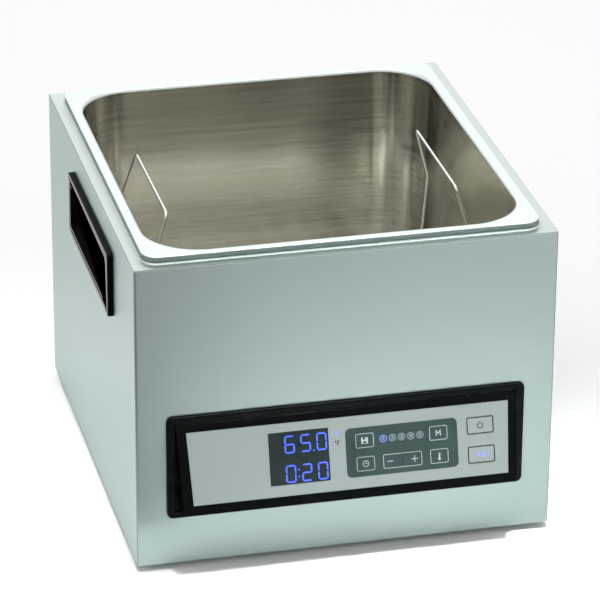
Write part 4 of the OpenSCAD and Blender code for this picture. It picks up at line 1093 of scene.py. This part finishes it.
@dataclass
class Keypad:
    """The key field, its keys and their printed symbols."""

    slope: Slope = Slope()
    line: float = 0.42
    plate_line: float = 0.8
    stroke: float = 0.6
    ink: float = 0.05
    inset: float = 0.15
    corner: float = 1.5
    field_x: float = 41.6
    row_one: float = 26.8
    keys: tuple[Key, ...] = (
        Key("save", 11.9, 26.8, 14.8, 11.6, Symbol.DISK),
        Key("memory", 71.3, 26.8, 14.8, 11.6, Symbol.MEMORY),
        Key("timer", 11.9, 45.3, 14.8, 11.6, Symbol.CLOCK),
        Key("minus", 33.65, 45.3, 15.6, 11.6, Symbol.MINUS),
        Key("plus", 49.55, 45.3, 15.6, 11.6, Symbol.PLUS),
        Key("temperature", 71.3, 45.3, 14.8, 11.6, Symbol.THERMOMETER),
        Key("power", 105.4, 24.1, 22.0, 13.8, Symbol.POWER, DARK_LEGEND),
        Key("start", 105.4, 47.5, 22.0, 13.8, Symbol.START, BLUE_LEGEND),
    )

    def build(self) -> None:
        """Makes the field, the keys and everything printed on them."""
        refine("key_field", FIELD, ())
        for key in self.keys:
            on_plate = key.symbol in (Symbol.POWER, Symbol.START)
            refine(key.word + "_key_cap", FASCIA if on_plate else FIELD)
            self.print_key(key, on_plate)
        self.print_lights()
        self.print_bridge()
        dress("key_switches", INNER_BLACK)

    def print_key(self, key: Key, on_plate: bool) -> None:
        """Prints a key's outline and symbol, which move with it.

        Args:
            key: the key.
            on_plate: whether it sits on the steel plate.
        """
        outline = Drawing(self.ink)
        if key.symbol in (Symbol.MINUS, Symbol.PLUS):
            self.half_outline(outline, key)
        else:
            outline.outline(0, 0, key.width - 2 * self.inset, key.height - 2 * self.inset, self.corner,
                            self.plate_line if on_plate else self.line)
        place = self.slope.at(key.x, key.s, self.slope.face)
        body, slot = key.word + "_key", "plate_key_steel" if on_plate else "key_field_green"
        settle(outline.stand(place), body + "_outline", body, DARK_LEGEND if on_plate else LEGEND)
        symbol = Drawing(self.ink)
        self.draw(symbol, key.symbol)
        settle(symbol.stand(place), body + "_symbol", body, key.ink)

    def half_outline(self, drawing: Drawing, key: Key) -> None:
        """Draws the outer half of the outline that the minus and plus keys share.

        Args:
            drawing: where it is drawn.
            key: the minus key or the plus key.
        """
        out = -1 if key.symbol is Symbol.MINUS else 1
        half_w, half_h = key.width / 2 - self.inset, key.height / 2 - self.inset
        middle = self.line / 2
        bend_x, bend_y = half_w - self.corner, half_h - self.corner
        starts = {(1, 1): 0, (-1, 1): 90, (-1, -1): 180, (1, -1): 270}
        for end in (-1, 1):
            level = end * (half_h - middle)
            drawing.bar((-out * bend_x, level), (out * bend_x, level), self.line)
            drawing.arc(out * bend_x, end * bend_y, self.corner - middle, self.line, starts[(out, end)], 90)
        drawing.bar((out * (half_w - middle), -bend_y), (out * (half_w - middle), bend_y), self.line)

    def draw(self, d: Drawing, symbol: Symbol) -> None:
        """Draws one symbol round the middle of its key.

        Args:
            d: where it is drawn.
            symbol: which one.
        """
        w = self.stroke
        if symbol is Symbol.DISK:
            for x in (-2.05, 2.05):
                d.bar((x, -2.5), (x, 2.5), 1.25)
            d.bar((-1.5, 0.1), (1.5, 0.1), 1.3)
            d.bar((0.75, 0.7), (0.75, 2.5), 0.8)
            d.bar((-1.5, -2.3), (1.5, -2.3), 0.35)
        elif symbol is Symbol.MEMORY:
            uprights = (((-1.7, -2.3), (-1.7, 2.3)), ((1.7, -2.3), (1.7, 2.3)))
            slants = (((-1.7, 2.1), (0.0, -0.6)), ((1.7, 2.1), (0.0, -0.6)))
            for start, end in uprights + slants:
                d.bar(start, end, 0.72)
        elif symbol is Symbol.CLOCK:
            d.arc(0, 0, 2.35, 0.5)
            d.bar((0, -0.2), (0, 1.6), 0.45)
            d.bar((-0.1, 0), (1.3, 0), 0.45)
        elif symbol is Symbol.MINUS:
            d.bar((-4.4, 0), (0.4, 0), w)
        elif symbol is Symbol.PLUS:
            d.bar((-0.9, 0), (4.3, 0), w)
            d.bar((1.7, 0.3), (1.7, 2.6), w)
            d.bar((1.7, -0.3), (1.7, -2.6), w)
        elif symbol is Symbol.THERMOMETER:
            d.bar((0, -1.6), (0, 2.5), 0.95)
            d.disc(0, -2.1, 1.15)
            d.bar((0.9, 1.8), (1.7, 1.8), 0.35)
            d.bar((0.9, 0.6), (1.7, 0.6), 0.35)
        elif symbol is Symbol.POWER:
            d.arc(0, 0, 2.3, 0.68, 125, 290)
            d.bar((0, 0.4), (0, 3.2), 0.68)
        elif symbol is Symbol.START:
            d.polygon([(-3.3, -2.3), (-0.3, 0), (-3.3, 2.3)])
            d.bar((0.9, -2.3), (0.9, 2.3), 0.85)
            d.bar((2.7, -2.3), (2.7, 2.3), 0.85)

    def print_bridge(self) -> None:
        """Prints the short lines on the field that join the minus key's outline to the plus key's."""
        minus, plus = (key for key in self.keys if key.symbol in (Symbol.MINUS, Symbol.PLUS))
        half = (plus.x - minus.x - minus.width) / 2 + self.inset + self.corner
        lines = Drawing(self.ink)
        for end in (-1, 1):
            level = end * (minus.height / 2 - self.inset - self.line / 2)
            lines.bar((-half, level), (half, level), self.line)
        place = self.slope.at((minus.x + plus.x) / 2, minus.s, self.slope.face)
        settle(lines.stand(place), "key_outline_bridge", "housing", LEGEND)

    def print_lights(self, pitch: float = 7.4, ring: float = 2.75, ring_line: float = 0.38,
                     number: float = 4.6, join: float = 3.9, join_end: float = 2.2,
                     join_reach: float = 3.4, join_line: float = 0.3) -> None:
        """Makes the five numbered programme lights and the lines that join them to their keys.

        Args:
            pitch: distance between two lights.
            ring: radius of the ring round a light.
            ring_line: width of the ring's line.
            number: height of the numbers' type.
            join: distance of the joining lines from the lights' middles.
            join_end: where the joining lines' ends stop.
            join_reach: how far past the last ring they reach.
            join_line: their width.
        """
        place = self.slope.at(self.field_x, self.row_one, self.slope.face)
        rings, numbers, lit = Drawing(self.ink), Drawing(self.ink * 1.4), Drawing(self.ink * 1.4)
        for i in range(5):
            x = (i - 2) * pitch
            (lit if i == 0 else rings).arc(x, 0, ring, ring_line)
            (lit if i == 0 else numbers).glyph(str(i + 1), x, 0, number)
        lines = Drawing(self.ink)
        reach = 2 * pitch + ring + join_reach
        for end in (-1, 1):
            lines.bar((-reach, end * join), (reach, end * join), join_line)
            for side in (-1, 1):
                lines.bar((side * reach, end * join), (side * reach, end * join_end), join_line)
        settle(rings.stand(place), "programme_rings", "housing", FAINT_LEGEND)
        settle(numbers.stand(place), "programme_numbers", "housing", FAINT_LEGEND)
        settle(lit.stand(place), "first_programme_lit", "housing", LIT_MARK)
        settle(lines.stand(place), "programme_lines", "housing", DARK_LEGEND)
        dress("program_lights", DIM_LENS)


@dataclass
class Display:
    """The smoked window with its lit figures and the unit marks beside it."""

    slope: Slope = Slope()
    mark_split: float = 22.9

    def build(self) -> None:
        """Makes the window, the figures and the marks."""
        refine("display_window", SMOKE, ())
        dress("temperature_digits", LIT_DIGIT)
        dress("timer_digits", LIT_DIGIT)
        self.split_marks()
        dress("display_module", INNER_BLACK)

    def split_marks(self) -> None:
        """Makes the Celsius mark lit and the Fahrenheit mark dark."""
        marks = (("celsius_mark", LIT_MARK, True), ("fahrenheit_mark", DARK_LEGEND, False))
        for name, finish, upper in marks:
            bm = merged_copy("unit_marks")
            other = [v for v in bm.verts if (self.slope.down(v.co / MM) < self.mark_split) != upper]
            bmesh.ops.delete(bm, geom=other, context="VERTS")
            settle(bm, name, "housing", finish, ("unit_marks",))


@dataclass
class Console:
    """The black surround with its flange and wedge, and the steel fascia."""

    slope: Slope = Slope()
    flange_y: float = -174.077
    flange_round: float = 2.0
    inner_round: float = 0.7
    wedge_round: float = 0.9
    half_width: float = 143.5
    half_height: float = 44.0
    middle_z: float = 90.0
    flange_band: tuple[float, float] = (-3.5, 0.1)
    inner_band: tuple[float, float] = (-7.0, -6.0)
    frame_top: float = 6.5
    frame_foot: float = 7.0
    frame_side: float = 3.3
    corner_side: float = 3.5

    def build(self) -> None:
        """Makes the surround with its rounded edges, and the fascia in it."""
        refine("console_bezel", CONSOLE_BLACK, (
            Rounding(self.flange_outer, self.flange_round, 5),
            Rounding(self.wedge_edge, self.wedge_round, 3),
            Rounding(self.flange_inner, self.inner_round, 3),
        ))
        refine("fascia_plate", FASCIA, ())
        dress("control_board", BOARD)
        dress("board_screws", FASTENER)
        dress("ribbon_cable", GREY_SHEATH)

    def beyond(self, v: Vector) -> float:
        """Returns how far outside the flange's outline a point is, negative inside it."""
        return max(abs(v.x) - self.half_width, abs(v.z - self.middle_z) - self.half_height)

    def flange_outer(self, a: Vector, b: Vector) -> bool:
        """Picks the flange's outer front edge."""
        near, far = self.flange_band
        return all(v.y < self.flange_y + TOUCH and near < self.beyond(v) < far for v in (a, b))

    def flange_inner(self, a: Vector, b: Vector) -> bool:
        """Picks the flange's inner front edge."""
        near, far = self.inner_band
        return all(abs(v.y - self.flange_y) < TOUCH and near < self.beyond(v) < far for v in (a, b))

    def wedge_edge(self, a: Vector, b: Vector) -> bool:
        """Picks the wedge's outer edges, on its face and down its corners.

        Args:
            a: one end of the edge, in millimetres.
            b: its other end.

        Returns:
            Whether the edge is rounded.
        """
        foot, side = self.slope.height, self.slope.half
        downs = [self.slope.down(v) for v in (a, b)]
        reach = min(abs(a.x), abs(b.x))
        on_face = all(abs(self.slope.depth(v)) < TOUCH / 2.5 for v in (a, b))
        rim = all(down < TOUCH or down > foot - TOUCH or abs(v.x) > side - self.frame_side
                  for v, down in zip((a, b), downs))
        inner = all(self.frame_top < down < foot - self.frame_foot for down in downs)
        corner = (abs(downs[0] - downs[1]) < TOUCH and downs[0] > foot - TOUCH and a.y < self.flange_y
                  and reach > side - self.corner_side and abs(a.x - b.x) < 2 * TOUCH)
        return (on_face and rim and not inner) or corner


@dataclass
class Handles:
    """The two recessed side handles."""

    reach: float = 172.5
    ring_round: float = 1.4
    opening_round: float = 0.5
    groove_land: float = 0.9
    groove_width: float = 1.6
    groove_depth: float = 1.6
    ring_band: float = 3.2
    opening_start: float = 5.0
    sunk_by: float = 0.6
    sunk_start: float = 3.0
    outward: float = 0.8

    def build(self) -> None:
        """Makes both shells with rounded edges and a groove round the opening."""
        low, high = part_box("right_handle_shell")
        self.middle = (low + high) / 2 / MM
        self.half = (high - low) / 2 / MM
        for side in ("left", "right"):
            bm = merged_copy(side + "_handle_shell")
            round_edges(bm, (Rounding(self.ring_edge, self.ring_round, 4),
                             Rounding(self.opening_edge, self.opening_round, 4)))
            self.cut_groove(bm)
            shell = settle(bm, side + "_handle_shell_fine", "housing", HANDLE_BLACK,
                           (side + "_handle_shell",))
            self.line_pocket(shell)
        dress("handle_screws", FASTENER)

    def cut_groove(self, bm: bmesh.types.BMesh) -> None:
        """Cuts the fine groove round the hand opening, in the ring's flat face.

        Args:
            bm: the handle's shape, in metres.
        """
        face = [f for f in bm.faces if all(abs(v.co.x) / MM > self.reach - TOUCH / 2.5 for v in f.verts)]
        lands = bmesh.ops.inset_region(bm, faces=face, thickness=self.groove_land * MM,
                                       use_even_offset=True, use_boundary=True)["faces"]
        face = [f for f in face if f.is_valid and f not in lands]
        bands = bmesh.ops.inset_region(bm, faces=face, thickness=self.groove_width * MM,
                                       use_even_offset=True, use_boundary=True)["faces"]
        floor = [f for f in bands if all(self.beyond(v.co / MM) < -self.opening_start for v in f.verts)]
        sunk = bmesh.ops.extrude_face_region(bm, geom=floor)["geom"]
        bmesh.ops.delete(bm, geom=floor, context="FACES_ONLY")
        fresh = [g for g in sunk if isinstance(g, bmesh.types.BMVert)]
        inward = -math.copysign(self.groove_depth * MM, fresh[0].co.x)
        bmesh.ops.translate(bm, vec=(inward, 0, 0), verts=fresh)

    def line_pocket(self, shell: bpy.types.Object) -> None:
        """Gives the ring's sides a satin black, and its groove and pocket a dull one.

        Args:
            shell: the handle's shell.
        """
        add_finishes(shell, HANDLE_SIDE, POCKET_BLACK)
        for face in shell.data.polygons:
            place = face.center / MM
            if abs(place.x) < self.reach - self.sunk_by and self.beyond(place) < -self.sunk_start:
                face.material_index = 2
            elif abs(face.normal.x) < self.outward:
                face.material_index = 1

    def beyond(self, v: Vector) -> float:
        """Returns how far outside the ring's outline a point is, negative inside it."""
        return max(abs(v.y - self.middle.y) - self.half.y, abs(v.z - self.middle.z) - self.half.z)

    def ring_edge(self, a: Vector, b: Vector) -> bool:
        """Picks the ring's outer edge."""
        return all(abs(v.x) > self.reach - TOUCH and self.beyond(v) > -self.ring_band for v in (a, b))

    def opening_edge(self, a: Vector, b: Vector) -> bool:
        """Picks the hand opening's outer edge."""
        return all(abs(v.x) > self.reach - TOUCH and self.beyond(v) < -self.opening_start for v in (a, b))


@dataclass
class Rack:
    """The lift-out wire rack with its two bails."""

    wire: float = 2.6
    sides: int = 20
    bend: float = 5.0
    foot_reach: float = 96.0
    bend_reach: float = 68.5
    top_reach: float = 60.5
    foot_z: float = 90.2
    bend_z: float = 198.2
    grid_smooth: float = 50.0
    bail_smooth: float = 60.0

    def build(self) -> None:
        """Makes the bails from bent wire, and dresses the grid."""
        refine("rack_grid", WIRE, smooth=self.grid_smooth)
        for side, name in ((-1, "left_rack_bail"), (1, "right_rack_bail")):
            bail = bent_wire(self.bail_path(name, side), self.wire, self.bend, self.sides)
            settle(bail, name + "_wire", "rack", WIRE, (name,), self.bail_smooth, outward=True)

    def bail_path(self, node: str, side: int) -> list[Vector]:
        """Works out a bail's path, from its front foot over the top to its rear foot.

        Args:
            node: the bail's CAD node.
            side: -1 for the left bail, 1 for the right one.

        Returns:
            The path's corners, in millimetres.
        """
        low, high = (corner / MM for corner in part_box(node))
        half, middle = self.wire / 2, (low.y + high.y) / 2
        foot_x, top_x = (high.x - half, low.x + half) if side > 0 else (low.x + half, high.x - half)
        front = [(foot_x, self.foot_reach, self.foot_z), (foot_x, self.bend_reach, self.bend_z),
                 (top_x, self.top_reach, high.z - half)]
        return ([Vector((x, middle - reach, z)) for x, reach, z in front]
                + [Vector((x, middle + reach, z)) for x, reach, z in reversed(front)])


def bent_wire(points: Sequence[Vector], diameter: float, bend: float, sides: int,
              step_angle: float = 9.0) -> bmesh.types.BMesh:
    """Makes a round wire through points, its corners bent round.

    Args:
        points: the corners of the wire's path, in millimetres.
        diameter: the wire's diameter.
        bend: the radius of each bend, to the wire's middle.
        sides: faces round the wire.
        step_angle: the angle in degrees of one step of a bend.

    Returns:
        The wire's shape, in metres.
    """
    bm = bmesh.new()
    way = (points[1] - points[0]).normalized()
    place = Matrix.Translation(points[0]) @ way.to_track_quat("Z", "Y").to_matrix().to_4x4()
    ring = bmesh.ops.create_circle(bm, cap_ends=True, segments=sides, radius=diameter / 2,
                                   matrix=place)["verts"]
    loop = list({e for v in ring for e in v.link_edges})
    here = points[0]
    for i in range(1, len(points)):
        way = (points[i] - points[i - 1]).normalized()
        last = i == len(points) - 1
        turn = 0.0 if last else way.angle((points[i + 1] - points[i]).normalized())
        cut_back = bend * math.tan(turn / 2)
        stop = points[i] - way * cut_back
        made = bmesh.ops.extrude_edge_only(bm, edges=loop)["geom"]
        fresh = [g for g in made if isinstance(g, bmesh.types.BMVert)]
        bmesh.ops.translate(bm, vec=stop - here, verts=fresh)
        edges = [g for g in made if isinstance(g, bmesh.types.BMEdge)]
        loop = [e for e in edges if all(v in fresh for v in e.verts)]
        here = stop
        if last or turn < 1e-4:
            continue
        onward = (points[i + 1] - points[i]).normalized()
        axis = way.cross(onward).normalized()
        centre = here + axis.cross(way) * bend
        steps = max(3, int(math.degrees(turn) / step_angle))
        made = bmesh.ops.spin(bm, geom=loop + fresh, cent=centre, axis=axis, dvec=(0, 0, 0), angle=turn,
                              steps=steps, use_merge=False, use_duplicate=False)
        loop = [g for g in made["geom_last"] if isinstance(g, bmesh.types.BMEdge)]
        here = points[i] + onward * cut_back
    bmesh.ops.holes_fill(bm, edges=loop, sides=sides)
    bmesh.ops.remove_doubles(bm, verts=bm.verts, dist=1e-4)
    bmesh.ops.transform(bm, matrix=Matrix.Scale(MM, 4), verts=bm.verts)
    return bm


@dataclass
class Inlet:
    """The mains inlet on the rear panel."""

    edge_round: float = 0.6

    def build(self) -> None:
        """Makes the inlet with softened edges, and dresses its pins and screws."""
        refine("power_inlet", INNER_BLACK, (Rounding(self.outer, self.edge_round, 3),))
        dress("inlet_pins", BRASS)
        refine("inlet_screws", FASTENER)

    def outer(self, a: Vector, b: Vector) -> bool:
        """Picks the edges on the inlet's outer face."""
        return min(a.y, b.y) > CAD_BOX[1].y / MM - TOUCH


@dataclass
class Internals:
    """Everything inside the box: heaters, insulation, sensor and electrics."""

    finishes: dict[str, Finish] = field(default_factory=lambda: {
        "floor_heating_mat": SILICONE, "wall_heating_band": SILICONE, "insulation_jacket": FELT,
        "insulation_floor_pad": FELT, "temperature_probe": FASTENER, "probe_clip": ZINC_SHEET,
        "thermal_cutout": INNER_BLACK, "power_board": BOARD, "board_spacers": BRASS, "relays": INNER_BLACK,
        "transformer_core": CORE, "transformer_coil": COPPER, "capacitors": YELLOW, "heat_sink": HEAT_SINK,
        "fuse": FASTENER, "terminal_block": NYLON, "mains_wires": SHEATH, "heater_wires": SHEATH,
        "sensor_wire": GREY_SHEATH,
    })

    def build(self) -> None:
        """Dresses every inner piece."""
        for node, finish in self.finishes.items():
            dress(node, finish)


# ---------------------------------------------------------------- studio


@dataclass(frozen=True)
class SoftBox:
    """A rectangular soft light: its place, what it points at, its size in metres and its power in watts."""

    name: str
    place: Triple
    target: Triple
    width: float
    height: float
    power: float
    spread: float = 180.0


@dataclass
class Studio:
    """The pale floor, the soft lights and the camera."""

    eye: Triple = (-0.660045, -2.727036, 1.464019)
    azimuth: float = -13.676
    elevation: float = 25.256
    roll: float = 0.416
    lens: float = 228.213
    sensor: float = 36.0
    clip: tuple[float, float] = (0.1, 50.0)
    sky: float = 0.78
    floor_half: float = 15.0
    flag_middle: Triple = (-0.36, -0.65, 0.004)
    flag_half: tuple[float, float] = (0.3, 0.36)
    flag_turn: float = 10.0
    lights: tuple[SoftBox, ...] = (
        SoftBox("overhead", (0.1, 0.3, 2.4), (0.0, 0.0, 0.2), 2.4, 1.8, 18.0),
        SoftBox("front_wash", (0.12, -0.8, 2.8), (0.08, -0.27, 0.0), 0.3, 0.3, 1.1, 11.5),
        SoftBox("side_wash", (-0.75, 0.2, 2.6), (-0.29, -0.02, 0.0), 0.3, 0.3, 0.45, 18.0),
        SoftBox("behind", (0.3, 2.6, 1.5), (0.0, 0.0, 0.25), 2.4, 1.5, 4.5),
    )

    def build(self) -> None:
        """Sets up the studio."""
        self.set_camera()
        self.lay_sheet("studio_floor", Matrix.Scale(self.floor_half, 4), FLOOR_PAINT)
        self.lay_flag()
        self.set_sky()
        bpy.context.scene.view_settings.view_transform = "Standard"
        for box in self.lights:
            self.soft_light(box)

    def set_camera(self) -> None:
        """Puts the camera at its place and turn."""
        a, e, r = (math.radians(v) for v in (self.azimuth, self.elevation, self.roll))
        back = Vector((math.sin(a) * math.cos(e), -math.cos(a) * math.cos(e), math.sin(e)))
        right = Vector((math.cos(a), math.sin(a), 0.0))
        up = back.cross(right)
        turned_right = right * math.cos(r) + up * math.sin(r)
        turned_up = up * math.cos(r) - right * math.sin(r)
        data = bpy.data.cameras.new("camera")
        data.lens, data.sensor_width = self.lens, self.sensor
        data.clip_start, data.clip_end = self.clip
        camera = bpy.data.objects.new("camera", data)
        bpy.context.scene.collection.objects.link(camera)
        rotation = Matrix((turned_right, turned_up, back)).transposed().to_4x4()
        camera.matrix_world = Matrix.Translation(self.eye) @ rotation
        bpy.context.scene.camera = camera

    def lay_sheet(self, name: str, place: Matrix, paint: MattPaint) -> bpy.types.Object:
        """Lays a flat painted sheet that belongs to the studio.

        Args:
            name: the sheet's name.
            place: what makes a square of two metres the sheet.
            paint: its finish.

        Returns:
            The sheet.
        """
        bm = bmesh.new()
        bmesh.ops.create_grid(bm, x_segments=1, y_segments=1, size=1.0, matrix=place)
        mesh = bpy.data.meshes.new(name)
        bm.to_mesh(mesh)
        bm.free()
        mesh.materials.append(material(paint))
        sheet = bpy.data.objects.new(name, mesh)
        bpy.context.scene.collection.objects.link(sheet)
        return sheet

    def lay_flag(self) -> None:
        """Lays the dark card ahead and to the left, which darkens what the front panel mirrors."""
        turn = Matrix.Rotation(math.radians(self.flag_turn), 4, "Z")
        place = Matrix.Translation(self.flag_middle) @ turn @ Matrix.Diagonal((*self.flag_half, 1, 1))
        flag = self.lay_sheet("studio_flag", place, CARD_PAINT)
        flag.visible_camera = False

    def set_sky(self) -> None:
        """Lights the whole studio softly from all round."""
        world = bpy.data.worlds.new("studio_sky")
        world.use_nodes = True
        background = world.node_tree.nodes["Background"]
        background.inputs["Color"].default_value = (1.0, 1.0, 1.0, 1.0)
        background.inputs["Strength"].default_value = self.sky
        bpy.context.scene.world = world

    def soft_light(self, box: SoftBox) -> None:
        """Adds a soft box.

        Args:
            box: the light.
        """
        data = bpy.data.lights.new(box.name, "AREA")
        data.shape, data.energy, data.spread = "RECTANGLE", box.power, math.radians(box.spread)
        data.size, data.size_y = box.width, box.height
        light = bpy.data.objects.new(box.name, data)
        light.visible_camera = False
        bpy.context.scene.collection.objects.link(light)
        way = Vector(box.target) - Vector(box.place)
        turn = way.to_track_quat("-Z", "Y").to_matrix().to_4x4()
        light.matrix_world = Matrix.Translation(box.place) @ turn


def main() -> None:
    """Builds the studio and every sub-assembly in order."""
    logging.basicConfig(level=logging.INFO, format="%(name)s: %(message)s")
    for part in (Studio(), Housing(), BathPan(), Console(), Display(), Keypad(), Handles(), Rack(), Inlet(),
                 Internals()):
        part.build()


if __name__ == "__main__":
    main()
